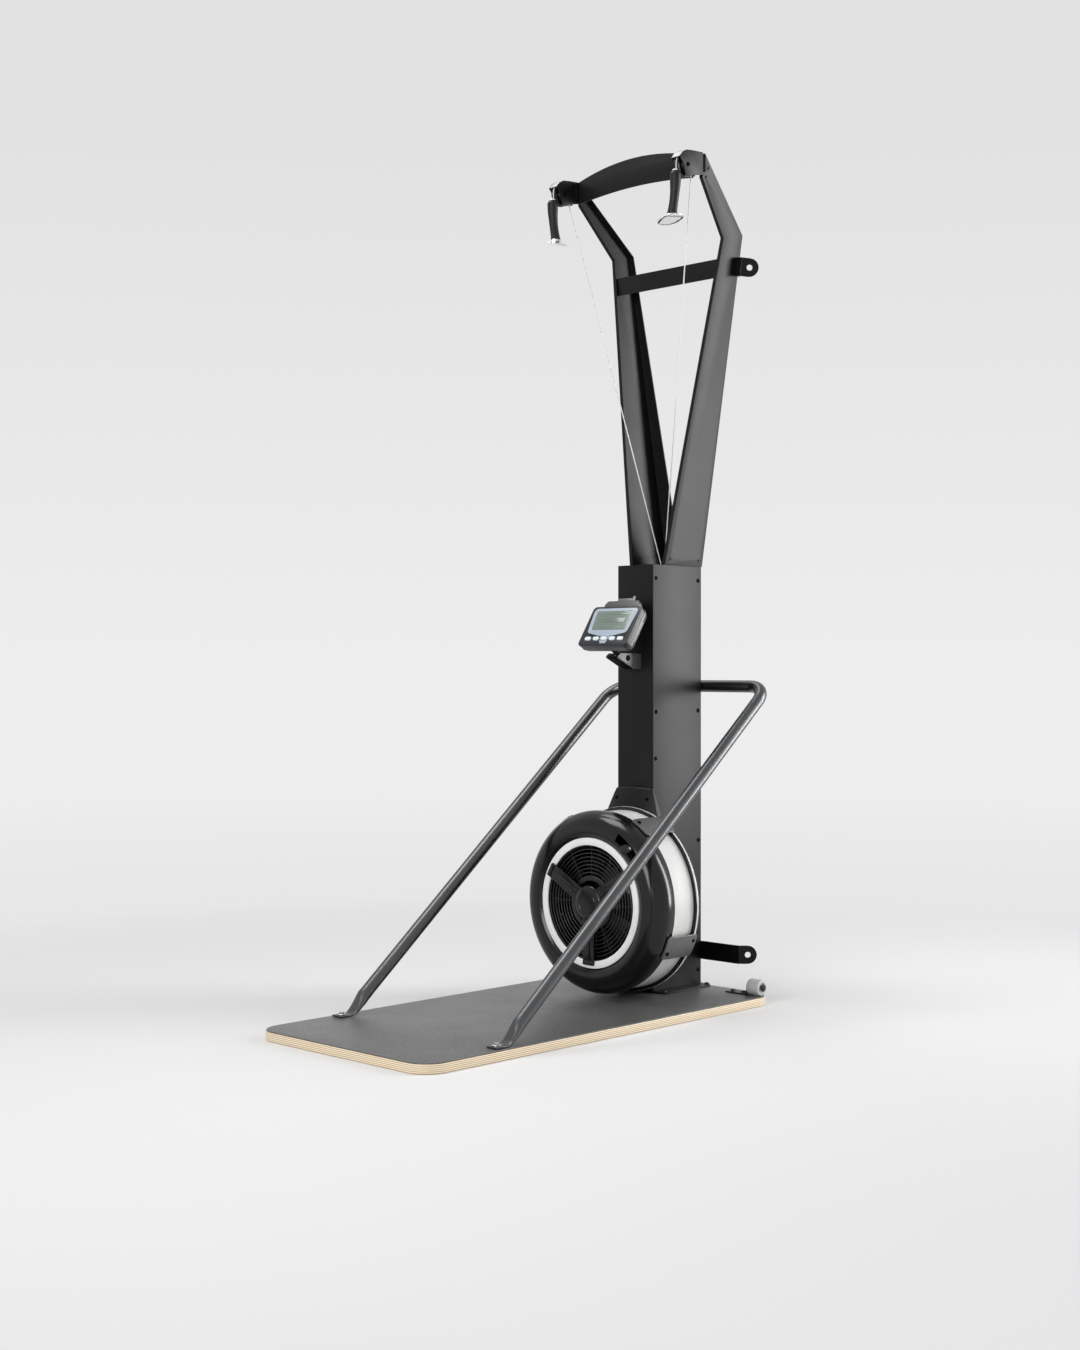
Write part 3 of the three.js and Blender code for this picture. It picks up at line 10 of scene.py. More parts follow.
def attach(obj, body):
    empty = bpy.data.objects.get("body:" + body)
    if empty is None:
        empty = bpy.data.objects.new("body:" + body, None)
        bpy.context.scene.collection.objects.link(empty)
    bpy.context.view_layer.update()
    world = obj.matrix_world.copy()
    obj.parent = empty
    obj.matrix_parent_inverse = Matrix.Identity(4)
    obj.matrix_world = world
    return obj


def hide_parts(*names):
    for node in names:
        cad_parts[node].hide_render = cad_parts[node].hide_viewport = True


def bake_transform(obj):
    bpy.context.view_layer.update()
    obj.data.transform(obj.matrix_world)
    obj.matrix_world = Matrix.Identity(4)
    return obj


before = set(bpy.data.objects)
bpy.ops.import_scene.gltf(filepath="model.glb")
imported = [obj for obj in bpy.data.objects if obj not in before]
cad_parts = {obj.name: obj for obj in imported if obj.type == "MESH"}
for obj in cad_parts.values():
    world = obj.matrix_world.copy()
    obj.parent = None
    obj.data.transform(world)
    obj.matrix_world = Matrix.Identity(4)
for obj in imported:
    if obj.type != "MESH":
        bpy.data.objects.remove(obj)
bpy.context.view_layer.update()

# Sizes of the frame, in metres
MM = 0.001
SIDES = {"left": -1, "right": 1}
DECK_WIDTH, DECK_LENGTH, DECK_CORNER, DECK_TOP = 0.619, 1.27, 0.065, 0.0245
COLUMN_FRONT, COLUMN_BACK, COLUMN_SIDE, COLUMN_TOP = 0.418, 0.622, 0.0635, 1.1866
COLUMN_FACE = 0.4176
HEAD_X, HEAD_REAR, HEAD_BACK = 0.222, 0.4177, 0.4297
PULLEY_Y, PULLEY_Z, PULLEY_PITCH = 0.3562, 2.2221, 0.03
FAN_Z, FAN_FRONT = 0.2805, 0.233
SHELL_BACK, EXHAUST_BACK, REAR_FRONT, REAR_BACK = 0.3, 0.3768, 0.3771, 0.4177
GUARD_Y = 0.2406
MONITOR_TILT = radians(33.6)
MONITOR_Y, MONITOR_Z = 0.3135, 1.0193
CARRIER_PIN = (0, 0.363, 0.9325)


# Materials

def feed(mat, target, inputs):
    """Give a node's inputs plain values or other nodes' outputs."""
    for key, value in inputs.items():
        if isinstance(value, bpy.types.NodeSocket):
            mat.node_tree.links.new(value, target.inputs[key])
        else:
            target.inputs[key].default_value = value


def node(mat, kind, inputs=None, **settings):
    made = mat.node_tree.nodes.new("ShaderNode" + kind)
    for key, value in settings.items():
        setattr(made, key, value)
    feed(mat, made, inputs or {})
    return made


def shader(mat):
    return mat.node_tree.nodes["Principled BSDF"]


def new_material(name, color, roughness, metallic=0.0, specular=0.5, coat=0.0):
    mat = bpy.data.materials.new(name)
    mat.use_nodes = True
    feed(mat, shader(mat), {"Base Color": (*color, 1), "Roughness": roughness, "Metallic": metallic,
                            "Specular IOR Level": specular, "Coat Weight": coat, "Coat Roughness": 0.08})
    return mat


def coordinates(mat, stretch=(1, 1, 1)):
    place = node(mat, "TexCoord").outputs["Object"]
    return node(mat, "Mapping", {"Vector": place, "Scale": stretch}).outputs["Vector"]


def noise(mat, scale, detail, stretch=(1, 1, 1)):
    inputs = {"Scale": scale, "Detail": detail, "Vector": coordinates(mat, stretch)}
    return node(mat, "TexNoise", inputs).outputs["Fac"]


def bands(mat, scale, direction, stretch=(1, 1, 1)):
    inputs = {"Scale": scale, "Vector": coordinates(mat, stretch)}
    wave = node(mat, "TexWave", inputs, wave_type="BANDS", bands_direction=direction)
    return wave.outputs["Fac"]


def calc(mat, operation, *values):
    return node(mat, "Math", dict(enumerate(values)), operation=operation).outputs["Value"]


def ranged(mat, value, low, high, from_low=0.3, from_high=0.7):
    inputs = {"Value": value, "From Min": from_low, "From Max": from_high, "To Min": low, "To Max": high}
    return node(mat, "MapRange", inputs).outputs["Result"]


def mixed(mat, factor, low, high, blend="MIX"):
    """A mix of two colours, each a plain colour or another node's output."""
    a, b = ((*color, 1) if isinstance(color, tuple) else color for color in (low, high))
    inputs = {"Factor": factor, "A": a, "B": b}
    return node(mat, "Mix", inputs, data_type="RGBA", blend_type=blend).outputs["Result"]


def add_bump(mat, height, strength, distance):
    bump = node(mat, "Bump", {"Strength": strength, "Distance": distance, "Height": height})
    feed(mat, shader(mat), {"Normal": bump.outputs["Normal"]})


def surface(name, color, roughness, spread=0.06, tint=0.12, grain=900, bump=0.15, depth=0.0001, metallic=0.0,
            specular=0.5, coat=0.0, stretch=(1, 1, 1)):
    """A surface with fine relief, and slow changes of roughness and colour."""
    mat = new_material(name, color, roughness, metallic, specular, coat)
    slow = noise(mat, scale=9, detail=4.0)
    low, high = (tuple(min(1, c * share) for c in color) for share in (1 - tint, 1 + tint))
    feed(mat, shader(mat), {"Roughness": ranged(mat, slow, roughness - spread, roughness + spread),
                            "Base Color": mixed(mat, ranged(mat, slow, 0, 1), low, high)})
    add_bump(mat, noise(mat, grain, 2.0, stretch), bump, depth)
    return mat


def meshed(name, color):
    """Dark non-slip film: the print of a fine wire mesh, with slow changes of gloss."""
    mat = new_material(name, color, roughness=0.36, specular=0.62)
    slow, grain = noise(mat, scale=7, detail=4.0), noise(mat, scale=230, detail=3.0)
    dark, light = (tuple(c * share for c in color) for share in (0.6, 1.5))
    fine = mixed(mat, ranged(mat, grain, 0, 1, from_low=0.36, from_high=0.64), dark, light)
    feed(mat, shader(mat), {"Roughness": ranged(mat, slow, 0.34, 0.4), "Base Color": fine})
    height = grain
    for direction in ("X", "Y"):
        height = calc(mat, "ADD", height, bands(mat, 65, direction))
    add_bump(mat, height, strength=0.5, distance=0.0003)
    return mat


def plywood():
    """Clear-coated plywood: long grain on the faces, thin plies along the edges."""
    ply_pair = 0.0044
    mat = new_material("plywood", (0.62, 0.46, 0.28), 0.42, coat=0.15)
    grain = noise(mat, scale=60, detail=6.0, stretch=(1, 0.06, 1))
    face = mixed(mat, ranged(mat, grain, 0, 1), (0.7, 0.55, 0.36), (0.56, 0.41, 0.25))
    place = node(mat, "TexCoord").outputs["Object"]
    height = node(mat, "SeparateXYZ", {"Vector": place}).outputs["Z"]
    wave = calc(mat, "SINE", calc(mat, "MULTIPLY", height, 2 * pi / ply_pair))
    ply = ranged(mat, wave, 0, 1, from_low=-0.3, from_high=0.3)
    edge = mixed(mat, ply, (0.86, 0.75, 0.57), (0.5, 0.38, 0.24))
    streak = noise(mat, scale=140, detail=4.0, stretch=(0.2, 0.2, 6))
    edge = mixed(mat, 0.3, edge, mixed(mat, streak, (0.75, 0.72, 0.68), (1, 1, 1)), "MULTIPLY")
    normal = node(mat, "NewGeometry").outputs["Normal"]
    upright = calc(mat, "ABSOLUTE", node(mat, "SeparateXYZ", {"Vector": normal}).outputs["Z"])
    feed(mat, shader(mat), {"Base Color": mixed(mat, ranged(mat, upright, 0, 1, 0.5, 0.8), edge, face)})
    add_bump(mat, grain, strength=0.12, distance=0.0002)
    return mat


def braided(name, color):
    """Fine cord: short crossing strands a little under a millimetre apart."""
    mat = new_material(name, color, roughness=0.75, specular=0.3)
    both = calc(mat, "MAXIMUM", *(bands(mat, 180, "DIAGONAL", way) for way in ((1, 1, 1), (-1, -1, 1))))
    feed(mat, shader(mat), {"Base Color": mixed(mat, both, tuple(c * 0.7 for c in color), color)})
    add_bump(mat, both, strength=0.4, distance=0.0003)
    return mat


COAT = surface("black_powder_coat", (0.006, 0.006, 0.0065), 0.36, spread=0.02, tint=0.2, grain=1400,
               bump=0.05, depth=0.00004, specular=0.165)
GLOSS = surface("black_moulding", (0.004, 0.004, 0.0045), 0.17, spread=0.02, tint=0.15, grain=1100,
                bump=0.03, depth=0.00003, specular=0.36)
INNER = surface("black_inner_moulding", (0.006, 0.006, 0.006), 0.38, spread=0.05, tint=0.2, bump=0.1,
                specular=0.4)
GRIP = surface("grip_rubber", (0.009, 0.009, 0.0095), 0.48, tint=0.2, grain=1600, bump=0.3, depth=0.00012,
               specular=0.25)
WHITE = surface("white_plastic", (0.82, 0.82, 0.81), 0.38, spread=0.04, tint=0.03, grain=800, bump=0.08)
# Silver sheet of the exhaust band, also used as a painted highlight strip round the rear shell's rim.
SILVER_AND_HIGHLIGHT = surface("silver_sheet_and_painted_highlight", (0.62, 0.62, 0.61), 0.42, spread=0.04, tint=0.04, grain=700, bump=0.1,
                 specular=0.3, stretch=(1, 12, 1))
TUBE = surface("graphite_tube", (0.1, 0.102, 0.105), 0.33, spread=0.02, tint=0.06, grain=60, bump=0.01,
               depth=0.00002, metallic=1.0)
CHROME = surface("chrome_plate", (0.8, 0.81, 0.82), 0.12, spread=0.02, tint=0.03, grain=500, bump=0.02,
                 metallic=1.0)
CLIP = surface("clip_moulding", (0.065, 0.065, 0.067), 0.3, spread=0.03, tint=0.15, grain=1100, bump=0.05,
               depth=0.00005, specular=1.0)
WIRE = surface("grille_wire", (0.02, 0.02, 0.021), 0.3, spread=0.03, tint=0.15, grain=1100, bump=0.05,
               depth=0.00005, specular=0.7)
STEEL = surface("plated_steel", (0.46, 0.46, 0.47), 0.3, tint=0.1, metallic=1.0)
# Darkened cast metal: in part painted shade for the dark inside of the fan behind the grille.
CAST_AND_SHADE = surface("cast_aluminium_with_painted_shade", (0.075, 0.077, 0.08), 0.42, tint=0.1, grain=500, bump=0.2,
               metallic=0.9)
# Dead black and nearly unreflecting: the screws' own black, and also painted shade on the block behind each
# head, on the monitor carrier's floor and back, and in part on the damper behind the grille.
SCREW_AND_SHADE = surface("blackened_screw_and_painted_shade", (0.002, 0.002, 0.002), 0.6, spread=0.05, tint=0.2, bump=0.1,
                specular=0.03)
MAT = meshed("deck_mat", (0.07, 0.071, 0.069))
ROLLER = surface("roller_plastic", (0.42, 0.43, 0.43), 0.5, spread=0.05, tint=0.06)
CASE = surface("monitor_case", (0.022, 0.022, 0.024), 0.36, spread=0.04, grain=1800, bump=0.2,
               specular=0.45)
HOOD = surface("monitor_rear_case", (0.035, 0.035, 0.037), 0.36, spread=0.04, grain=1800, bump=0.2,
               specular=0.6)
BEZEL = surface("monitor_bezel", (0.36, 0.42, 0.5), 0.3, spread=0.03, tint=0.05, bump=0.08)
FACE = surface("monitor_face", (0.01, 0.012, 0.016), 0.3, spread=0.03, tint=0.1, bump=0.08, specular=0.35)
LCD = surface("display", (0.145, 0.19, 0.155), 0.16, spread=0.02, tint=0.05, grain=2500, bump=0.05,
              coat=0.3)
LCD_DARK = surface("display_segment", (0.118, 0.158, 0.128), 0.2, spread=0.02, tint=0.05, grain=2500,
                   bump=0.05, coat=0.3)
KEY = surface("pale_key", (0.7, 0.77, 0.79), 0.42, spread=0.04, tint=0.05, grain=1200)
# Lighter than the black coat: a painted sheen on the carrier's cheeks.
CARRIER_PAINTED_SHEEN = surface("monitor_carrier_painted_sheen", (0.075, 0.075, 0.076), 0.42, spread=0.04, tint=0.1, grain=1200,
                  bump=0.1)
PLY = plywood()
CORD = braided("pale_cord", (0.8, 0.8, 0.78))


# Geometry helpers

WELD = 2e-6


class Shape:
    """Vertices and faces gathered from several parts, each face with its material's place."""

    def __init__(self):
        self.verts, self.faces, self.slots = [], [], []

    def add(self, part, slot=0):
        verts, faces = part
        base = len(self.verts)
        self.verts += [Vector(v) for v in verts]
        self.faces += [[base + i for i in f] for f in faces]
        self.slots += [slot] * len(faces)
        return self

    def mirrored(self, side):
        made = Shape()
        made.verts, made.slots = flipped((self.verts, []), x=side)[0], self.slots
        made.faces = [f[::side] for f in self.faces]
        return made

    def mesh(self, name):
        mesh = bpy.data.meshes.new(name)
        mesh.from_pydata([v[:] for v in self.verts], [], self.faces)
        mesh.polygons.foreach_set("material_index", self.slots)
        tidy = bmesh.new()
        tidy.from_mesh(mesh)
        bmesh.ops.remove_doubles(tidy, verts=tidy.verts, dist=WELD)
        bmesh.ops.recalc_face_normals(tidy, faces=tidy.faces)
        tidy.to_mesh(mesh)
        tidy.free()
        return mesh


def linked(name, data):
    """A new object in the scene."""
    made = bpy.data.objects.new(name, data)
    bpy.context.scene.collection.objects.link(made)
    return made


def piece(name, shape, materials, slot, body="frame", nodes=(), angle=32):
    """A piece with its materials, its smoothing, its body and the CAD nodes that it replaces."""
    if isinstance(shape, tuple):
        shape = Shape().add(shape)
    mesh = shape.mesh(name) if isinstance(shape, Shape) else shape
    for mat in materials if isinstance(materials, list) else [materials]:
        mesh.materials.append(mat)
    mesh.polygons.foreach_set("use_smooth", [True] * len(mesh.polygons))
    mesh.set_sharp_from_angle(angle=radians(angle))
    piece = linked(name, mesh)
    if body:
        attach(piece, body)
    if nodes:
        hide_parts(*nodes)
    return piece


def pair(name, shape, materials, slot, body="frame", nodes=(), angle=32):
    """A left and a right piece from the shape of the right one."""
    for word, side in SIDES.items():
        own = body if body == "frame" else f"{body}_{word}"
        replaced = [f"{n}_{word}" for n in nodes]
        half = shape if isinstance(shape, Shape) else Shape().add(shape)
        piece(f"{name}_{word}", half.mirrored(side), materials, slot, own, replaced, angle)


def refined(cad_node, name, bevel):
    """A coated CAD node's form, its flat faces whole and its sharp edges rounded, bevel in millimetres."""
    flat, sharp = radians(0.4), radians(24)
    work = bmesh.new()
    work.from_mesh(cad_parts[cad_node].data)
    bmesh.ops.remove_doubles(work, verts=work.verts, dist=WELD)
    bmesh.ops.dissolve_limit(work, angle_limit=flat, verts=work.verts, edges=work.edges)
    edges = [e for e in work.edges if len(e.link_faces) == 2 and e.calc_face_angle(0) > sharp]
    bmesh.ops.bevel(work, geom=edges, offset=bevel * MM, segments=2, profile=0.7, affect="EDGES",
                    clamp_overlap=True)
    mesh = bpy.data.meshes.new(name)
    work.to_mesh(mesh)
    work.free()
    return piece(name, mesh, COAT, "coat", nodes=[cad_node])


def circle(x, y, radius, count=32):
    return [(x + radius * cos(2 * pi * i / count), y + radius * sin(2 * pi * i / count))
            for i in range(count)]


def filleted(points, radii, steps=6):
    """A closed outline with its corners rounded."""
    radii = radii if isinstance(radii, (list, tuple)) else [radii] * len(points)
    made = []
    for i, corner in enumerate(points):
        here = Vector(corner)
        before = (Vector(points[i - 1]) - here).normalized()
        after = (Vector(points[(i + 1) % len(points)]) - here).normalized()
        if radii[i] <= 0:
            made.append(tuple(here))
            continue
        half = before.angle(after) / 2
        reach = radii[i] / tan(half)
        centre = here + (before + after).normalized() * (radii[i] / sin(half))
        start, end = here + before * reach - centre, here + after * reach - centre
        turn = start.angle_signed(end)
        for k in range(steps + 1):
            a = -turn * k / steps
            c, s = cos(a), sin(a)
            made.append((centre.x + start.x * c - start.y * s, centre.y + start.x * s + start.y * c))
    return made


def rounded(width, height, radius, steps=8, x=0.0, y=0.0):
    w, h = width / 2, height / 2
    return filleted([(x + w, y + h), (x - w, y + h), (x - w, y - h), (x + w, y - h)], radius, steps)


def smooth(points, per=8):
    """Points along a curve through the given ones."""
    pts = [Vector(p) for p in points]
    last = len(pts) - 1
    made = []
    for i in range(last):
        p0, p1, p2, p3 = pts[max(i - 1, 0)], pts[i], pts[i + 1], pts[min(i + 2, last)]
        for k in range(per):
            t = k / per
            made.append(0.5 * (2 * p1 + (p2 - p0) * t + (2 * p0 - 5 * p1 + 4 * p2 - p3) * t * t
                               + (3 * p1 - p0 - 3 * p2 + p3) * t ** 3))
    return made + [pts[-1]]


PLANES = {
    "XY": Matrix.Identity(4),
    "XZ": Matrix(((1, 0, 0, 0), (0, 0, 1, 0), (0, 1, 0, 0), (0, 0, 0, 1))),
    "YZ": Matrix(((0, 0, 1, 0), (1, 0, 0, 0), (0, 1, 0, 0), (0, 0, 0, 1))),
}


def plate(loops, low, high, plane="XY", bevel=0.4, steps=2):
    """A flat plate between two places, from an outline and its holes, its bevel in millimetres."""
    curve = bpy.data.curves.new("plate", "CURVE")
    curve.dimensions = "2D"
    curve.fill_mode = "BOTH"
    curve.extrude = (high - low) / 2 - bevel * MM
    curve.bevel_depth = bevel * MM
    curve.offset = -bevel * MM
    curve.bevel_resolution = steps
    for loop in loops:
        spline = curve.splines.new("POLY")
        spline.points.add(len(loop) - 1)
        for point, (u, v) in zip(spline.points, loop):
            point.co = (u, v, 0, 1)
        spline.use_cyclic_u = True
    temp = linked("plate", curve)
    mesh = bpy.data.meshes.new_from_object(temp.evaluated_get(bpy.context.evaluated_depsgraph_get()))
    turn = PLANES[plane] @ Matrix.Translation((0, 0, (low + high) / 2))
    part = ([turn @ v.co for v in mesh.vertices], [list(p.vertices) for p in mesh.polygons])
    bpy.data.objects.remove(temp)
    bpy.data.curves.remove(curve)
    bpy.data.meshes.remove(mesh)
    return part


def lathe(profile, steps=96, axis="Y", centre=(0, 0, 0)):
    """A profile of radius and place turned about an axis: closed, unless it starts on the axis."""
    verts, faces = [], []
    count = len(profile)
    for i in range(steps):
        a = 2 * pi * i / steps
        c, s = cos(a), sin(a)
        for r, t in profile:
            point = {"Y": (r * c, t, r * s), "X": (t, r * c, r * s), "Z": (r * c, r * s, t)}[axis]
            verts.append(Vector(point) + Vector(centre))
    for i in range(steps):
        here, there = i * count, ((i + 1) % steps) * count
        for j in range(count if profile[0][0] > 0 else count - 1):
            k = (j + 1) % count
            faces.append([here + j, here + k, there + k, there + j])
    return verts, faces


def rings(loops):
    """A capped skin over a row of loops with the same number of points."""
    count = len(loops[0])
    verts = [Vector(p) for loop in loops for p in loop]
    faces = []
    for i in range(len(loops) - 1):
        for j in range(count):
            k = (j + 1) % count
            faces.append([i * count + j, i * count + k, (i + 1) * count + k, (i + 1) * count + j])
    faces.append(list(range(count))[::-1])
    faces.append([(len(loops) - 1) * count + j for j in range(count)])
    return verts, faces


def tube(path, radius, sides=16):
    """A round tube along a path, its section carried along without twist."""
    points = [Vector(p) for p in path]
    last = len(points) - 1
    normal = None
    loops = []
    for i, point in enumerate(points):
        along = (points[min(i + 1, last)] - points[max(i - 1, 0)]).normalized()
        if normal is None:
            normal = along.orthogonal().normalized()
        normal = (normal - along * normal.dot(along)).normalized()
        other = along.cross(normal)
        angles = [2 * pi * k / sides for k in range(sides)]
        loops.append([point + radius * (cos(a) * normal + sin(a) * other) for a in angles])
    return rings(loops)


def bent(corners, radii, steps=12):
    """A path of straight legs with round bends."""
    pts = [Vector(c) for c in corners]
    made = [pts[0]]
    for i in range(1, len(pts) - 1):
        before, after = (pts[i] - pts[i - 1]).normalized(), (pts[i + 1] - pts[i]).normalized()
        turn = before.angle(after)
        radius = radii[i - 1] if isinstance(radii, (list, tuple)) else radii
        start = pts[i] - before * radius * tan(turn / 2)
        axis = before.cross(after).normalized()
        centre = start + axis.cross(before) * radius
        for k in range(steps + 1):
            made.append(centre + Matrix.Rotation(turn * k / steps, 3, axis) @ (start - centre))
    made.append(pts[-1])
    return made


def placed(part, turn):
    """A part moved by a matrix."""
    return [turn @ Vector(v) for v in part[0]], part[1]


def moved(part, x=0.0, y=0.0, z=0.0):
    return placed(part, Matrix.Translation((x, y, z)))


def spun(part, angle, axis="Y"):
    return placed(part, Matrix.Rotation(angle, 4, axis))


def flipped(part, x=1, y=1):
    """A part mirrored along an axis whose factor is -1."""
    return [Vector((x * v[0], y * v[1], v[2])) for v in part[0]], part[1]


def screw(radius, height, axis="Y"):
    """A round screw head with a sunk socket, from zero to its height along an axis."""
    r, h = radius, height
    profile = [(0, 0), (r, 0), (r, 0.55 * h), (0.9 * r, 0.88 * h), (0.7 * r, h), (0.5 * r, h),
               (0.46 * r, 0.45 * h), (0, 0.45 * h)]
    return lathe(profile, 24, axis)


def hexagon(radius, height):
    """An upright hexagonal nut or bolt head."""
    return plate([circle(0, 0, radius, 6)], 0, height, bevel=radius * 0.12 / MM, steps=1)


def sector(inner, outer, middle, half, steps=14):
    """The outline of a piece of a ring, by its radii, its middle angle and half its angle."""
    angles = [middle - half + 2 * half * i / steps for i in range(steps + 1)]
    return ([(outer * cos(a), outer * sin(a)) for a in angles]
            + [(inner * cos(a), inner * sin(a)) for a in reversed(angles)])


# Platform

def platform():
    board_top, mat_low, inset, steps = 0.022, 0.0223, 0.0015, 24
    board = plate([rounded(DECK_WIDTH, DECK_LENGTH, DECK_CORNER, steps)], 0, board_top, bevel=1.2, steps=3)
    piece("board", board, PLY, "ply", nodes=["platform_board"])
    outline = rounded(DECK_WIDTH - 2 * inset, DECK_LENGTH - 2 * inset, DECK_CORNER - inset, steps)
    covering = plate([outline], mat_low, DECK_TOP, bevel=0.5)
    piece("deck_covering", covering, MAT, "mat", nodes=["platform_mat"])


def rollers():
    """Transport rollers with a shallow groove round the middle, and their brackets."""
    inner, outer, r, bore, groove = 0.262, 0.302, 0.0215, 0.0053, 0.0012
    profile = [(bore, inner), (r - 0.004, inner), (r - 0.001, inner + 0.001), (r, inner + 0.004),
               (r, inner + 0.016), (r - groove, inner + 0.017), (r - groove, inner + 0.023),
               (r, inner + 0.024), (r, outer - 0.004), (r - 0.001, outer - 0.001), (r - 0.004, outer),
               (0.013, outer), (0.012, outer - 0.002), (bore, outer - 0.002)]
    wheel = lathe(profile, 64, "X", (0, 0.59, 0.047))
    pair("roller", wheel, ROLLER, "roller", "roller", ["transport_roller"])
    for word in SIDES:
        refined(f"roller_bracket_{word}", f"roller_carrier_{word}", bevel=0.4)


# Column

PANEL_SCREWS_MM = ((430, 1149.6), (608.4, 1148.3), (430.3, 787.4), (608.7, 788), (428.7, 660.6), (610.8, 428),
                   (609.3, 67.8))


def column():
    low, sheet, sunk = 0.0291, 0.002, 0.0002
    outline = [(COLUMN_FRONT, low), (COLUMN_BACK, low), (COLUMN_BACK, COLUMN_TOP), (COLUMN_FRONT, COLUMN_TOP)]
    panel = plate([outline], COLUMN_SIDE - sheet, COLUMN_SIDE, "YZ", bevel=0.7, steps=3)
    pair("side_panel", panel, COAT, "coat", nodes=["column_panel"])
    heads = Shape()
    for y, z in PANEL_SCREWS_MM:
        heads.add(moved(screw(0.006, 0.0014, "X"), COLUMN_SIDE - sunk, y * MM, z * MM))
    pair("panel_screws", heads, SCREW_AND_SHADE, "steel")
    for cad_node in ("column_front_cover", "column_spine", "column_top_plate", "column_foot"):
        refined(cad_node, cad_node.replace("column_", "post_"), bevel=0.6)


# Arms, bars and heads

def arms():
    for word in SIDES:
        refined(f"arm_{word}", f"fork_{word}", bevel=0.7)
        refined(f"wall_tab_{word}", f"upper_tab_{word}", bevel=0.4)
    refined("crossbar", "fork_crossbar", bevel=0.6)


def arched_band():
    """Sheet between the arms' tops, arched above and below, with a tab bent forward at each end."""
    half, top, sheet, count = 0.2067, COLUMN_TOP + 1.1074, 0.003, 48
    end_top, end_low, middle_low = top - 0.031, top - 0.092, top - 0.078
    upper, lower = [], []
    for i in range(count + 1):
        s = 1 - 2 * i / count
        upper.append((half * s, end_top + (top - end_top) * (1 - s * s)))
        lower.append((-half * s, end_low + (middle_low - end_low) * (1 - s * s)))
    band = Shape().add(plate([upper + lower], HEAD_REAR - 0.008, HEAD_REAR - 0.003, "XZ", bevel=0.6))
    front, rear, tab_top, tab_low = 0.3987, 0.4147, end_top - 0.003, PULLEY_Z - 0.008
    outline = [(front - 0.001, tab_top), (front, tab_top), (rear, tab_top), (rear, tab_low), (front, tab_low)]
    tab = plate([outline], half - sheet, half, "YZ")
    for side in SIDES.values():
        band.add(flipped(tab, x=side))
    piece("arched_band", band, COAT, "coat", nodes=["head_band"])


# Corners of a head's side, in millimetres ahead of the pulley's axis and above it
HEAD_TOP = [(61.5, 43), (18, 40), (-4, 37.5), (-21, 29), (-33.5, 15.5)]
HEAD_LOW = [(-20, 0), (-9, -32), (61.5, -16)]


def head_point(ahead, rise, inset=0.0):
    share = 1 - inset / hypot(ahead, rise)
    return PULLEY_Y + ahead * share * MM, PULLEY_Z + rise * share * MM


def heads():
    """Hood of two sides, a roof and a back, with a block behind it that is dead black as painted shade for the
    gap between head and arm, the pulley's bolt and a top bolt.
    """
    half, sheet, corner, top, tall = 0.015, 0.0025, 0.0015, PULLEY_Z + 0.0405, 0.046
    roof = [head_point(*p) for p in HEAD_TOP[1:]]
    roof_in = [head_point(*p, inset=sheet / MM) for p in HEAD_TOP[1:]]
    rear, rear_in = head_point(*HEAD_TOP[0]), head_point(*HEAD_TOP[0], inset=sheet / MM)
    side = filleted([rear] + roof + [head_point(*p) for p in HEAD_LOW], corner, 3)
    shape = Shape()
    for x in (HEAD_X - half, HEAD_X + half - sheet):
        shape.add(plate([side], x, x + sheet, "YZ", bevel=0.5))
    cover = [rear] + roof + roof_in[::-1] + [(rear[0], rear_in[1])]
    shape.add(plate([cover], HEAD_X - half + 0.0004, HEAD_X + half - 0.0004, "YZ", bevel=0.3), 2)
    left, right, above = HEAD_X - half + 0.001, HEAD_X + half - 0.001, top + 0.001
    back = [(left, top - tall), (right, top - tall), (right, above), (left, above)]
    shape.add(plate([back], HEAD_REAR - sheet, HEAD_REAR, "XZ", bevel=0.3))
    # The block between hood and arm takes the dead-black material: painted shade for the dark seam in the gap
    # there.
    block = rounded(2 * half - 0.0015, tall, 0.001, 2, HEAD_X, top - tall / 2)
    shape.add(plate([block], HEAD_REAR - sheet, HEAD_BACK, "XZ", bevel=0.3), 1)
    for sign in (-1, 1):
        bolt = flipped(screw(0.0057, 0.0025, "X"), x=sign)
        shape.add(moved(bolt, HEAD_X + sign * half, PULLEY_Y, PULLEY_Z), 1)
    pin = [(0, HEAD_X - half), (0.0055, HEAD_X - half), (0.0055, HEAD_X + half), (0, HEAD_X + half)]
    shape.add(lathe(pin, 24, "X", (0, PULLEY_Y, PULLEY_Z)), 1)
    shape.add(moved(hexagon(0.0054, 0.005), HEAD_X, HEAD_REAR + 0.006, top - 0.0005), 1)
    pair("pulley_head", shape, [COAT, SCREW_AND_SHADE, CLIP], "coat", nodes=["head_bracket"])


def pulleys():
    """Pulley wheels: half their profile, from the bore out to the groove's floor, and its mirror."""
    w, g, flange, groove = 0.007, 0.001, 0.032, 0.0277
    half = [(0.006, w), (0.014, w), (0.015, w - 0.0015), (0.024, w - 0.0015), (0.026, w),
            (flange - 0.0005, w), (flange, w - 0.0005), (flange, w - 0.0018), (groove + 0.0005, g)]
    profile = [(r, -x) for r, x in half] + [(groove, 0)] + half[::-1]
    wheel = lathe(profile, 72, "X", (HEAD_X, PULLEY_Y, PULLEY_Z))
    pair("pulley_wheel", wheel, INNER, "black_plastic", "pulley", ["head_pulley"])


# Cords and handles

GRIP_TOP, GRIP_LENGTH, GRIP_Y = PULLEY_Z - 0.0165, 0.115, 0.323
BASE_CANT = radians(13)
CORD_RADIUS, CORD_FRONT, CORD_REAR = 0.0016, PULLEY_Y - PULLEY_PITCH, PULLEY_Y + PULLEY_PITCH


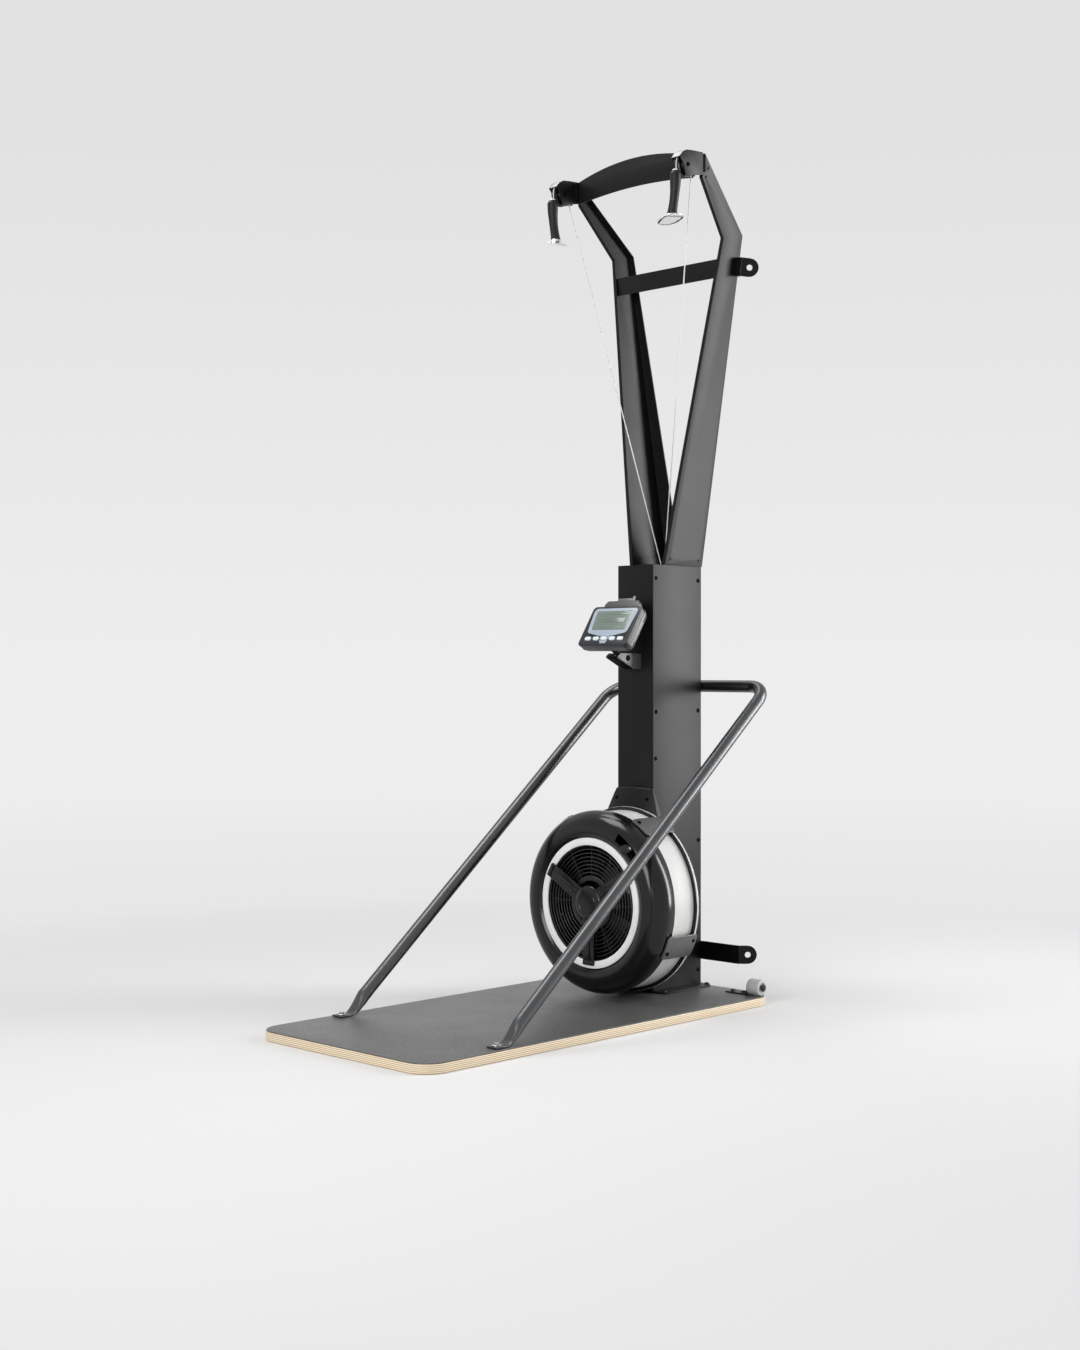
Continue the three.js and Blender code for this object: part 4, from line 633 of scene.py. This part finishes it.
def cords():
    """Each cord as a run over its pulley and down to its drum, and a drop from the pulley down to its handle.
    """
    top, drum_x, drum_gap = PULLEY_Z + PULLEY_PITCH, 0.0323, 0.018
    entry_x, entry_y, bend = 0.005, 0.534, 0.12
    for word, side in SIDES.items():
        x, drum_y = side * HEAD_X, 0.485 + side * drum_gap
        corners = [(x, CORD_FRONT, PULLEY_Z), (x, CORD_FRONT, top), (x, CORD_REAR, top),
                   (x, CORD_REAR, PULLEY_Z - PULLEY_PITCH / 2), (side * entry_x, entry_y, COLUMN_TOP),
                   (drum_x, drum_y, FAN_Z + 0.074), (drum_x, drum_y, FAN_Z)]
        path = bent(corners, [PULLEY_PITCH * 0.999] * 2 + [bend] * 3, 14)
        piece(f"cord_run_{word}", tube(path, CORD_RADIUS, 12), CORD, "cord", nodes=[f"cord_{word}"])
        path = [(x, CORD_FRONT, PULLEY_Z + 0.0002), (x, CORD_FRONT, GRIP_TOP - 0.001)]
        part = piece(f"cord_drop_{word}", tube(path, CORD_RADIUS, 12), CORD, "cord", None, [f"cord_{word}"])
        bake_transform(part)


def tilted_ring(centre, radius, cant, count):
    turn = Matrix.Rotation(-cant, 3, "Y")
    return [Vector(centre) + turn @ Vector((x, y, 0)) for x, y in circle(0, 0, radius, count)]


# Share of the grip's length, and its width there
GRIP_STATIONS = [(0, 0.3), (0.012, 0.46), (0.05, 0.72), (0.09, 0.93), (0.13, 1), (0.3, 0.98), (0.5, 0.87),
                 (0.72, 0.82), (0.9, 0.86), (0.975, 0.92), (1, 0.9)]
# Share of the base's height, its width there, and how far it has canted
BASE_STATIONS = [(0, 0.36, 0), (0.1, 0.38, 0.1), (0.25, 0.41, 0.3), (0.38, 0.5, 0.55), (0.5, 0.7, 0.85),
                 (0.6, 0.9, 0.97), (0.66, 0.985, 1), (0.7, 0.995, 1), (0.73, 0.98, 1), (0.82, 0.9, 1),
                 (0.91, 0.73, 1), (0.97, 0.52, 1), (0.995, 0.25, 1)]


def handles():
    """Grip with a pale ferrule at the cord, and the flared bright base under it."""
    grip_radius, lean, bow, ferrule = 0.0145, 0.012, 0.004, 0.0035
    loops = []
    for share, width in smooth(GRIP_STATIONS, 5):
        x = HEAD_X - lean * share + bow * sin(pi * share)
        loops.append(tilted_ring((x, GRIP_Y, GRIP_TOP - GRIP_LENGTH * share), grip_radius * width, 0, 40))
    grip = Shape().add(rings(loops))
    grip.slots = [int(max(grip.verts[i].z for i in face) > GRIP_TOP - ferrule) for face in grip.faces]
    pair("grip", grip, [GRIP, WHITE], "rubber", "handle", ["handle_grip"], 50)
    base_radius, drift, height, base_top = 0.0355, 0.007, 0.019, GRIP_TOP - GRIP_LENGTH - 0.0002
    loops = []
    for share, width, turn in smooth(BASE_STATIONS, 4):
        centre = (HEAD_X - lean - drift * share, GRIP_Y, base_top - height * share)
        loops.append(tilted_ring(centre, base_radius * width, BASE_CANT * turn, 64))
    pair("flared_base", rings(loops), CHROME, "chrome", "handle", ["handle_base"], 50)


# Rail

RAIL_X, RAIL_REAR, RAIL_TOP, RAIL_END, RAIL_RUN = 0.28, 0.645, 0.8554, 0.068, 1.21875
# Run and rise in millimetres, width, depth, squareness, and how far the section has turned level
RAIL_STATIONS = [(-8, 6.6, 1, 1, 0, 0), (0, 0, 1, 1, 0, 0), (8, -9.5, 1, 0.85, 0.12, 0.02),
                 (16, -18, 1, 0.62, 0.3, 0.05), (25, -27, 1, 0.44, 0.42, 0.2), (33, -34, 1, 0.32, 0.5, 0.45),
                 (40, -38.4, 1, 0.2, 0.56, 0.8), (47, -40.6, 1, 0.147, 0.6, 1), (60, -40.6, 1, 0.147, 0.6, 1),
                 (87, -40.6, 1, 0.147, 0.6, 1), (88.8, -40.6, 0.95, 0.11, 0.6, 1)]


def rail():
    """One bent tube whose ends are pressed flat on the deck, with a nut on a washer at each."""
    end, sides, radius, pressed = RAIL_REAR - (RAIL_TOP - RAIL_END) * RAIL_RUN, 40, 0.01675, 0.017
    corners = [(RAIL_X, end, RAIL_END), (RAIL_X, RAIL_REAR, RAIL_TOP),
               (-RAIL_X, RAIL_REAR, RAIL_TOP), (-RAIL_X, end, RAIL_END)]
    shape = Shape().add(tube(bent(corners, 0.062, 16), radius, sides))
    loops = []
    for run, rise, wide, deep, square, turn in RAIL_STATIONS:
        slope = atan2(1, RAIL_RUN) * (1 - turn)
        loop = []
        for k in range(sides):
            a = 2 * pi * k / sides
            u, v = (pressed * size * copysign(abs(t) ** (1 - square), t)
                    for size, t in ((wide, cos(a)), (deep, sin(a))))
            loop.append((RAIL_X + u, end - run * MM - v * sin(slope),
                         RAIL_END + rise * MM + v * cos(slope)))
        loops.append(loop)
    for side in (-1, 1):
        shape.add(flipped(rings(loops), x=side))
    piece("slanted_rail", shape, TUBE, "tube", nodes=["rail_tube"], angle=40)
    bolt_y, top, thick = end - 0.071, DECK_TOP + 0.0056, 0.002
    washer = [(0, 0), (0.0115, 0), (0.012, 0.0005), (0.012, 0.0013), (0.011, thick), (0, thick)]
    fixing = Shape().add(moved(lathe(washer, 40, "Z"), RAIL_X, bolt_y, top))
    fixing.add(moved(hexagon(0.0065, 0.0045), RAIL_X, bolt_y, top + thick))
    pair("rail_nut", fixing, STEEL, "steel", nodes=["rail_fixing"])
    refined("wall_bar", "wall_strap", bevel=0.4)


# Fan

ROUND = 160
SLOT_ANGLE = radians(47)


def fan_z(part):
    return moved(part, 0, 0, FAN_Z)


def turned(profile, steps=ROUND):
    return fan_z(lathe(profile, steps))


def shell_profile(inset):
    """The front shell's bulge, from its ledge over the crest to its rear edge, offset inwards."""
    crest, ring, half, rim = FAN_FRONT - 0.005, 0.174, 0.0355, 0.2415
    depth = SHELL_BACK - crest
    shares = [(0, 0.12), (0.16, 0.02), (0.42, 0), (0.7, 0.09), (0.92, 0.33), (1, 0.62)]
    points = [(ring + 2 * half * across - inset * (0.3 + 0.7 * across),
               crest + depth * along + inset * (1 - along))
              for across, along in shares]
    return [tuple(p) for p in smooth(points + [(rim - inset, SHELL_BACK)], 6)]


def front_shell():
    """Bulged shell with the slot for the damper's knob cut through it."""
    outer, inner = shell_profile(0.0), shell_profile(0.003)
    ledge, thick, ledge_in = FAN_FRONT + 0.0043, 0.003, 0.168
    profile = outer[:-1] + [(0.2415, SHELL_BACK - 0.0006), (0.2409, SHELL_BACK)] + inner[::-1][:-1]
    profile += [(0.171, ledge + thick), (ledge_in, ledge + thick), (ledge_in, ledge), (0.1743, ledge)]
    shell = piece("fan_front", turned(profile), GLOSS, "black_plastic", nodes=["fan_front_shell"])
    slot = sector(0.196, 0.218, SLOT_ANGLE, radians(14))
    slot = Shape().add(fan_z(plate([slot], 0.166, 0.2665, "XZ", bevel=0.05)))
    tool = linked("tool", slot.mesh("tool"))
    cutter = shell.modifiers.new("cut", "BOOLEAN")
    cutter.object, cutter.solver, cutter.operation = tool, "EXACT", "DIFFERENCE"
    mesh = bpy.data.meshes.new_from_object(shell.evaluated_get(bpy.context.evaluated_depsgraph_get()))
    shell.modifiers.clear()
    shell.data = mesh
    bpy.data.objects.remove(tool)


def intake_ring():
    r0, r1, f, rear = 0.154, 0.174, FAN_FRONT, FAN_FRONT + 0.004
    profile = [(r0, f + 0.001), (r0 + 0.0004, f + 0.0003), (r0 + 0.001, f), (r1 - 0.0014, f),
               (r1 - 0.0006, f + 0.0003), (r1 - 0.0003, f + 0.001), (r1 - 0.0003, rear), (r0, rear)]
    piece("inlet_ring", turned(profile), WHITE, "white", nodes=["fan_intake_ring"])


def exhaust_band():
    """Bright band whose edges stand half a millimetre proud of its middle."""
    front, rear = SHELL_BACK + 0.0003, EXHAUST_BACK
    half = ((0.2378, 0), (0.2395, 0), (0.2398, 0.0003), (0.2398, 0.006), (0.2393, 0.007))
    profile = [(r, front + y) for r, y in half] + [(r, rear - y) for r, y in half[::-1]]
    piece("exhaust_band", turned(profile), SILVER_AND_HIGHLIGHT, "silver", nodes=["fan_exhaust_band"])


def rear_shell():
    """Dished rear shell with an upright rim, and a thin silver strip round the rim that is a painted highlight
    for the light off its rounded edge.
    """
    q, dish, thick, inside = REAR_FRONT, REAR_BACK - REAR_FRONT, 0.003, REAR_BACK - 0.003
    profile = [(0.2465, q), (0.248, q + 0.0004), (0.249, q + 0.0016), (0.249, q + 0.0125),
               (0.2482, q + 0.0142), (0.246, q + 0.0152), (0.238, q + 0.02), (0.2241, q + dish * 0.7),
               (0.19, q + dish * 0.9), (0.1494, REAR_BACK), (0.046, REAR_BACK), (0.046, inside),
               (0.1494, inside), (0.2216, q + dish * 0.7 - thick), (0.2358, q + 0.002), (0.2358, q)]
    # Silver strip round the rim: a painted highlight where light glints off the rim's rounded edge.
    edge = [(0.2484, q + 0.0035), (0.24935, q + 0.0037), (0.24955, q + 0.0045), (0.24955, q + 0.0085),
            (0.24935, q + 0.0093), (0.2484, q + 0.0095)]
    back = Shape().add(turned(profile)).add(turned(edge), 1)
    piece("fan_back", back, [GLOSS, SILVER_AND_HIGHLIGHT], "black_plastic", nodes=["fan_rear_shell"])


def fan_grille():
    """Wire rings on spokes, between a rim and a middle disc."""
    wire, spoke, thick, wires, spokes = 0.0011, 0.0009, 0.003, 9, 12
    outermost, innermost, y = 0.1525, 0.071, GUARD_Y + 0.0015
    shape = Shape()
    for i in range(wires):
        radius = outermost - i * (outermost - innermost) / (wires - 1)
        shape.add(turned(circle(radius, y, wire, 8), 120), 1)
    for i in range(spokes):
        a = 2 * pi * i / spokes
        path = [(r * cos(a), y + 0.0003, r * sin(a)) for r in (0.068, 0.1595)]
        shape.add(fan_z(tube(path, spoke, 8)))
    rim = [(0.1535, GUARD_Y), (0.171, GUARD_Y), (0.171, GUARD_Y + thick), (0.1535, GUARD_Y + thick)]
    shape.add(turned(rim, 120))
    disc = [(0.0595, GUARD_Y), (0.07, GUARD_Y), (0.071, GUARD_Y + 0.001), (0.071, GUARD_Y + thick),
            (0.0595, GUARD_Y + thick)]
    shape.add(turned(disc, 96))
    piece("fan_grille", shape, [INNER, WIRE], "black_plastic", nodes=["fan_guard"])


def fan_spider():
    """Domed hub cover with three arms, each with a ridge along it and a shoe at its end."""
    face = FAN_FRONT - 0.0003
    dome = ((0, 0), (0.047, 0), (0.047, 0.004), (0.0462, 0.0055), (0.0435, 0.0078), (0.036, 0.0094),
            (0.03, 0.0097), (0.0288, 0.0088), (0.0275, 0.0088), (0.0263, 0.0097), (0.012, 0.01), (0, 0.01))
    shape = Shape().add(turned([(r, face - rise) for r, rise in dome], 96))
    core = [(0, GUARD_Y), (0.028, GUARD_Y), (0.028, face - 0.002), (0, face - 0.002)]
    shape.add(turned(core, 64))
    arm = [(0.03, -0.0205), (0.165, -0.0195), (0.165, 0.0195), (0.03, 0.0205)]
    arm = filleted(arm, [0, 0.004, 0.004, 0], 5)
    ridge = [(0.03, -0.0075), (0.149, -0.0045), (0.149, 0.0045), (0.03, 0.0075)]
    ridge = filleted(ridge, [0, 0.003, 0.003, 0], 5)
    shoe = rounded(0.012, 0.037, 0.002, 4, 0.158, 0)
    parts = [plate([outline], face - front, face - rear, "XZ", bevel=bevel, steps=3)
             for outline, front, rear, bevel in ((arm, 0.0045, 0, 1.2), (ridge, 0.0075, 0.003, 1.4),
                                                 (shoe, 0.0066, 0.003, 1.0))]
    for degrees in (30, 150, 270):
        for part in parts:
            shape.add(fan_z(spun(part, -radians(degrees))))
    piece("fan_spider", shape, GLOSS, "black_plastic", nodes=["fan_hub_cover"])


def fan_damper():
    """Damper disc with eight windows, and a lever whose knob comes out through the shell's slot; the disc and
    lever are dead black, which is in part painted shade for the dark inside of the fan.
    """
    low, high, reach, half = 0.2439, 0.2464, 0.207, 0.007
    pitch = pi / 4
    windows = [sector(0.0733, 0.1407, (i + 0.25) * pitch, pitch / 4 + 0.12, 10) for i in range(8)]
    disc = plate([circle(0, 0, 0.152, 120), circle(0, 0, 0.062, 72)] + windows, low, high, "XZ")
    shape = Shape().add(fan_z(disc))
    lever = [(0.141, -half), (reach, -half), (reach, half), (0.141, half)]
    lever = plate([lever], low, high, "XZ")
    shape.add(fan_z(spun(lever, -SLOT_ANGLE)))
    profile = [(0, high), (0.006, high), (0.006, 0.2262), (0.0135, 0.2257), (0.0143, 0.2247),
               (0.0145, 0.216), (0.0136, 0.2132), (0.0112, 0.212), (0, 0.212)]
    knob = turned(profile, 40)
    shape.add(moved(knob, reach * cos(SLOT_ANGLE), 0, reach * sin(SLOT_ANGLE)), 1)
    piece("air_damper", shape, [SCREW_AND_SHADE, GLOSS], "black_plastic", "damper", ["fan_damper"])


# Each strap's angle, and the side of its middle that its front screw sits on
CLIPS = {"upper_right": (56.5, 1), "lower_right": (-24.6, -1), "lower_left": (204.6, 1),
         "upper_left": (123.5, -1)}


def wrapped_strap(middle, width, y0, y1, inner, outer):
    """A flat strap bent round the fan, its front end stepped down onto the shell."""
    outline = rounded(width - 0.0004, y1 - y0 - 0.0004, 0.009, 8, 0, (y0 + y1) / 2)
    thick, step_start, step_length, sunk, shallow = outer - inner, 0.012, 0.016, 0.0032, 0.55
    work = bmesh.new()
    work.from_mesh(Shape().add(plate([outline], -thick / 2, thick / 2, bevel=1.1, steps=3)).mesh("clip"))
    lines = [(Vector((width * (i / 10 - 0.5), 0, 0)), Vector((1, 0, 0))) for i in range(1, 10)]
    lines += [(Vector((0, y0 + step, 0)), Vector((0, 1, 0))) for step in (0.014, 0.02, 0.026)]
    for at, across in lines:
        everything = work.verts[:] + work.edges[:] + work.faces[:]
        bmesh.ops.bisect_plane(work, geom=everything, plane_co=at, plane_no=across)
    for v in work.verts:
        dip = 1 - min(1, max(0, (v.co.y - y0 - step_start) / step_length))
        drop = sunk * dip * dip * (3 - 2 * dip) * (1 if v.co.z < 0.0015 else shallow)
        r = (inner + outer) / 2 + v.co.z - drop
        a = middle - v.co.x / outer
        v.co = (r * cos(a), v.co.y, FAN_Z + r * sin(a))
    mesh = bpy.data.meshes.new("clip")
    work.to_mesh(mesh)
    work.free()
    return [v.co.copy() for v in mesh.vertices], [list(p.vertices) for p in mesh.polygons]


def fan_clips():
    """Straps over the exhaust band, from the front shell to the rear rim, with two screws each."""
    half, front, rear, inner, outer = radians(7.6), 0.278, 0.3921, 0.2493, 0.2533
    for name, (degrees, sign) in CLIPS.items():
        middle = radians(degrees)
        shape = Shape().add(wrapped_strap(middle, 2 * half * outer, front, rear, inner, outer))
        for y, share in ((front + 0.012, 0.45), (rear - 0.012, -0.45)):
            turn = (Matrix.Translation((0, y, FAN_Z)) @ Matrix.Rotation(-middle - sign * share * half, 4, "Y")
                    @ Matrix.Translation((outer - 0.0006, 0, 0)))
            shape.add(placed(screw(0.0054, 0.0018, "X"), turn), 1)
        piece(f"band_clip_{name}", shape, [CLIP, SCREW_AND_SHADE], "black_plastic", nodes=[f"fan_clip_{name}"])


def neck():
    """Bulged cover that narrows from the fan's rim to the column's width, with a screw on each side."""
    front, lean, low, high, bulge, count = 0.3832, 0.022, 0.5116, 0.5822, 0.226, 24
    foot_half, narrowing, screw_x, screw_z, screw_share = 0.0925, 0.0285, 0.055, 0.551, 0.56
    loops = []
    for share, inset in ((0, 0), (0.25, 0), (0.5, 0), (0.75, 0), (0.93, 0), (0.975, 0.0007), (1, 0.0026)):
        half = foot_half - narrowing * (0.8 * share + 0.2 * share * share) - inset
        rise = low + (high - low) * share
        across = [half * (2 * i / count - 1) for i in range(count + 1)]
        loop = [(x, front + lean * share + inset + x * x / (2 * bulge), rise - 0.05 * x * x / half)
                for x in across]
        loops.append([(-half, COLUMN_FACE, loop[0][2])] + loop + [(half, COLUMN_FACE, loop[-1][2])])
    shape = Shape().add(rings(loops))
    for side in SIDES.values():
        x = side * screw_x
        y = front + lean * screw_share + x * x / (2 * bulge) + 0.0004
        head = spun(flipped(screw(0.005, 0.0018), y=-1), asin(x / bulge), "Z")
        shape.add(moved(head, x, y, screw_z), 1)
    piece("neck_housing", shape, [COAT, SCREW_AND_SHADE], "black_plastic", nodes=["neck_cover"], angle=30)


def drive():
    """Materials of the fan's inner parts, which keep their CAD forms; the flywheel is darkened, which is in
    part painted shade for the dark inside of the fan.
    """
    for mat, cad_nodes in ((CAST_AND_SHADE, "flywheel"), (INNER, "cord_drum_left cord_drum_right"),
                           (STEEL, "flywheel_axle bearing_front bearing_rear axle_cradle")):
        for cad_node in cad_nodes.split():
            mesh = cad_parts[cad_node].data
            mesh.materials.clear()
            mesh.materials.append(mat)


# Monitor

TO_MONITOR = Matrix.Translation((0, MONITOR_Y, MONITOR_Z)) @ Matrix.Rotation(-MONITOR_TILT, 4, "X")
CASE_W, CASE_H, CASE_CORNER = 0.175, 0.128, 0.014
KEY_STEP, KEY_W, KEY_H, KEY_Z = 0.029, 0.021, 0.011, -0.041


def on_face(part):
    """A part in the tilted monitor's own frame: x across, z up its face, y into it."""
    return placed(part, TO_MONITOR)


def face_plate(loops, front, rear, bevel, steps=2):
    return on_face(plate(loops, front, rear, "XZ", bevel, steps))


def display_front():
    """Face with a key row, the case behind it, and a raised frame with a lobe round the middle key."""
    play, border = 0.0012, 0.003
    holes = [rounded(KEY_W + play, KEY_H + play, 0.005, 5, i * KEY_STEP, KEY_Z)[::-1] for i in range(-2, 3)]
    shape = Shape()
    shape.add(face_plate([rounded(CASE_W, CASE_H, 0.012, 8)] + holes, 0.0, 0.0055, 1.2, 3))
    shape.add(face_plate([rounded(CASE_W, CASE_H, CASE_CORNER, 8)], 0.0045, 0.016, 0.6), 1)
    window = filleted([(0.079, 0.057), (-0.079, 0.057), (-0.0705, -0.0215), (-0.024, -0.0325),
                       (0.024, -0.0325), (0.0705, -0.0215)], [0.012, 0.012, 0.01, 0.012, 0.012, 0.01], 8)
    glass = filleted([(0.0665, 0.048), (-0.0665, 0.048), (-0.06, -0.014), (0.06, -0.014)], 0.006, 6)
    shape.add(face_plate([window, glass[::-1]], -0.0009, 0.0006, 0.4), 2)
    lobe = filleted([(0.0175, -0.03), (-0.0175, -0.03), (-0.0105, -0.0565), (0.0105, -0.0565)], 0.0055, 6)
    middle_key = rounded(KEY_W + border, KEY_H + border, 0.005, 5, 0, KEY_Z)
    shape.add(face_plate([lobe, middle_key[::-1]], -0.0005, 0.0006, 0.25), 2)
    piece("display_front", shape, [FACE, CASE, BEZEL], "bezel", "monitor", ["monitor_front_case"])


def display_window():
    """Display pane with three plain bars: place, width and height of each."""
    bars = ((0, 0.0375, 0.104, 0.0042), (-0.004, 0.018, 0.096, 0.015), (0, -0.0055, 0.08, 0.0032))
    pane = filleted([(0.0662, 0.0477), (-0.0662, 0.0477), (-0.0597, -0.0137), (0.0597, -0.0137)], 0.006, 6)
    screen = Shape().add(face_plate([pane], -0.0004, 0.0012, 0.25))
    for x, z, wide, tall in bars:
        screen.add(face_plate([rounded(wide, tall, 0.001, 3, x, z)], -0.00055, -0.0003, 0.08, 1), 1)
    piece("display_window", screen, [LCD, LCD_DARK], "lens", "monitor", ["monitor_lens"])


def key_caps():
    stations = ((0.0026, 0), (-0.0012, 0), (-0.0021, 0.0006), (-0.0026, 0.0018))
    for i in range(-2, 3):
        loops = [[(x, y, z) for x, z in rounded(KEY_W - 2 * inset, KEY_H - 2 * inset, 0.0046 - inset, 6,
                                                i * KEY_STEP, KEY_Z)] for y, inset in stations]
        body = f"key_{i + 3}"
        piece(f"key_cap_{i + 3}", on_face(rings(loops)), KEY, "key", body, [f"monitor_{body}"], 50)


def display_rear():
    """Rear case, the hood over it with its bar and upright, a strip on each side, and the pivot's lug."""
    stations = ((0.0163, 0.0004), (0.0168, 0), (0.0222, 0), (0.0228, 0.0012), (0.0236, 0.0012),
                (0.03, 0.003), (0.0355, 0.0056), (0.0385, 0.008), (0.04, 0.0112), (0.0403, 0.014))
    loops = [[(x, y, z) for x, z in rounded(CASE_W - 2 * inset, CASE_H - 2 * inset, CASE_CORNER, 8)]
             for y, inset in stations]
    rear = Shape().add(on_face(rings(loops)))
    hood = filleted([(0.062, 0.05), (0.062, 0.077), (0.055, 0.0885), (-0.055, 0.0885), (-0.062, 0.077),
                     (-0.062, 0.05)], [0.001, 0.005, 0.005, 0.005, 0.005, 0.001], 5)
    rear.add(face_plate([hood], 0.0085, 0.0245, 1.2, 3))
    rear.add(face_plate([rounded(0.058, 0.0085, 0.002, 4, 0.006, 0.0926)], 0.0095, 0.0135, 0.8), 1)
    rear.add(face_plate([rounded(0.008, 0.022, 0.002, 3, 0.031, 0.0925)], 0.009, 0.0125, 0.8), 1)
    for side in SIDES.values():
        strip = rounded(0.006, 0.07, 0.0025, 5, side * (CASE_W / 2 - 0.0042), -0.004)
        rear.add(face_plate([strip], 0.0223, 0.03, 0.9, 3))
    pivot, radius, half, case_low = TO_MONITOR.inverted() @ Vector(CARRIER_PIN), 0.011, 0.012, -0.046
    angles = [radians(-180 + 180 * k / 14) for k in range(15)]
    lug = [(pivot.y + radius * cos(a), pivot.z + radius * sin(a)) for a in angles]
    lug += [(pivot.y + radius, case_low), (0.026, case_low)]
    hole = circle(pivot.y, pivot.z, 0.0043, 24)
    rear.add(on_face(plate([lug, hole[::-1]], -half, half, "YZ", bevel=0.5)))
    piece("display_rear", rear, [HOOD, CLIP], "bezel", "monitor", ["monitor_rear_case"])


def display_carrier():
    """Sheet carrier on the column: two cheeks with a round opening, a sloping floor, a back and a pin. The
    cheeks are lighter than the coat as a painted sheen, and the floor and back are dead black as painted
    shade.
    """
    sheet, cheek, low, top, floor_half = 0.0025, 0.022, 0.903, 0.9455, 0.0196
    side = filleted([(COLUMN_FACE, top), (COLUMN_FACE, low), (0.388, low), (0.322, 0.9335), (0.323, 0.9384),
                     (0.334, top)], 0.0018, 4)
    opening = circle(CARRIER_PIN[1], CARRIER_PIN[2], 0.0082, 28)[::-1]
    shape = Shape()
    for x in (-cheek, cheek - sheet):
        shape.add(plate([side, opening], x, x + sheet, "YZ"))
    # The floor, back and pin take the dead-black material: painted shade under and behind the cheeks.
    under = [(COLUMN_FACE, low), (0.388, low), (0.324, 0.9326), (0.325, 0.9348), (0.3886, low + sheet),
             (COLUMN_FACE, low + sheet)]
    shape.add(plate([under], -floor_half, floor_half, "YZ", bevel=0.2), 1)
    back = rounded(2 * floor_half, top - low, 0.001, 2, 0, (top + low) / 2)
    shape.add(plate([back], COLUMN_FACE - sheet, COLUMN_FACE, "XZ", bevel=0.3), 1)
    half = [(0.0062, 0.0228), (0.0058, 0.0236), (0, 0.0236)]
    pin = [(r, -x) for r, x in half[::-1]] + half
    shape.add(lathe(pin, 28, "X", CARRIER_PIN), 1)
    piece("display_carrier", shape, [CARRIER_PAINTED_SHEEN, SCREW_AND_SHADE], "coat", nodes=["monitor_bracket"])


# Stage, light and camera

FLOOR_COLOR, GLOW_NEAR, GLOW_FAR, SKY_TOP = (0.76,) * 3, (0.79,) * 3, (0.85,) * 3, (0.755,) * 3
ROOM_LIGHT, SKY_FADE = 0.38, 0.28


def seen_ray(mat):
    """One for camera, glossy and transmission rays, and zero for the rest."""
    rays = node(mat, "LightPath").outputs
    seen = calc(mat, "MAXIMUM", rays["Is Camera Ray"], rays["Is Glossy Ray"])
    return calc(mat, "MAXIMUM", seen, rays["Is Transmission Ray"])


def ground():
    """Pale floor that keeps the shadow near the object and fades into the backdrop further out."""
    bpy.ops.mesh.primitive_plane_add(size=60, location=(0, 0, -0.0005))
    floor = bpy.context.object
    floor.name = "floor"
    mat = new_material("floor", FLOOR_COLOR, 0.8, specular=0.1)
    place = node(mat, "TexCoord").outputs["Object"]
    away = node(mat, "VectorMath", {0: place}, operation="LENGTH").outputs["Value"]
    color = mixed(mat, ranged(mat, away, 0, 1, from_low=2.0, from_high=9.0), GLOW_NEAR, GLOW_FAR)
    glow = node(mat, "Emission", {"Color": color}).outputs["Emission"]
    share = calc(mat, "MULTIPLY", ranged(mat, away, 0, 1, from_low=1.0, from_high=2.6), seen_ray(mat))
    shown = node(mat, "MixShader", {"Fac": share, 1: shader(mat).outputs["BSDF"], 2: glow})
    feed(mat, mat.node_tree.nodes["Material Output"], {"Surface": shown.outputs["Shader"]})
    floor.data.materials.append(mat)


def backdrop():
    """World that lights softly, and looks pale at the horizon and a little darker above."""
    world = bpy.data.worlds.new("studio")
    bpy.context.scene.world = world
    world.use_nodes = True
    base = world.node_tree.nodes["Background"]
    feed(world, base, {"Color": (1, 1, 1, 1), "Strength": ROOM_LIGHT})
    place = node(world, "TexCoord").outputs["Generated"]
    height = node(world, "SeparateXYZ", {"Vector": place}).outputs["Z"]
    color = mixed(world, ranged(world, height, 0, 1, from_low=0.0, from_high=SKY_FADE), GLOW_FAR, SKY_TOP)
    seen = node(world, "Background", {"Color": color, "Strength": 1.0}).outputs["Background"]
    inputs = {"Fac": seen_ray(world), 1: base.outputs["Background"], 2: seen}
    shown = node(world, "MixShader", inputs)
    feed(world, world.node_tree.nodes["World Output"], {"Surface": shown.outputs["Shader"]})


def softbox(name, place, target, width, height, radiance):
    lamp = bpy.data.lights.new(name, "AREA")
    lamp.shape = "RECTANGLE"
    lamp.size, lamp.size_y = width, height
    lamp.energy = radiance * pi * width * height
    holder = linked(name, lamp)
    holder.location = place
    holder.rotation_euler = (Vector(target) - Vector(place)).to_track_quat("-Z", "Y").to_euler()
    holder.visible_camera = False


def lights():
    softbox("side_box", (2.6, 3.46, 1.55), (0.1, 0.4, 1.0), width=1.15, height=3.9, radiance=13.4)
    softbox("front_box", (1.3, -4.4, 2.0), (0, 0.2, 0.7), width=2.4, height=2.4, radiance=7.0)
    softbox("rim_box", (-1.65, 1.1, 4.4), (0.1, 0.4, 1.9), width=1.4, height=1.4, radiance=3.5)
    softbox("top_box", (-1.2, -0.7, 4.4), (0.1, 0, 0.2), width=1.5, height=1.9, radiance=6.5)


def camera():
    """The photograph's view, solved from the platform's corners and the upright edges."""
    data = bpy.data.cameras.new("view")
    data.sensor_width, data.sensor_fit, data.lens = 36, "HORIZONTAL", 62.25
    data.shift_y = 5.34 / 1080
    data.clip_end = 100
    eye = linked("view", data)
    eye.location = (3.37225, -3.41104, 0.90341)
    eye.rotation_euler = (radians(90 - 0.351), 0, radians(44.295))
    bpy.context.scene.camera = eye


for build in (camera, cords, platform, rollers, column, arms, arched_band, heads, pulleys, handles, rail,
              front_shell, intake_ring, exhaust_band, rear_shell, fan_grille, fan_spider, fan_damper,
              fan_clips, neck, drive, display_front, display_window, key_caps, display_rear,
              display_carrier, ground, backdrop, lights):
    build()

bpy.context.scene.view_settings.view_transform = "Standard"
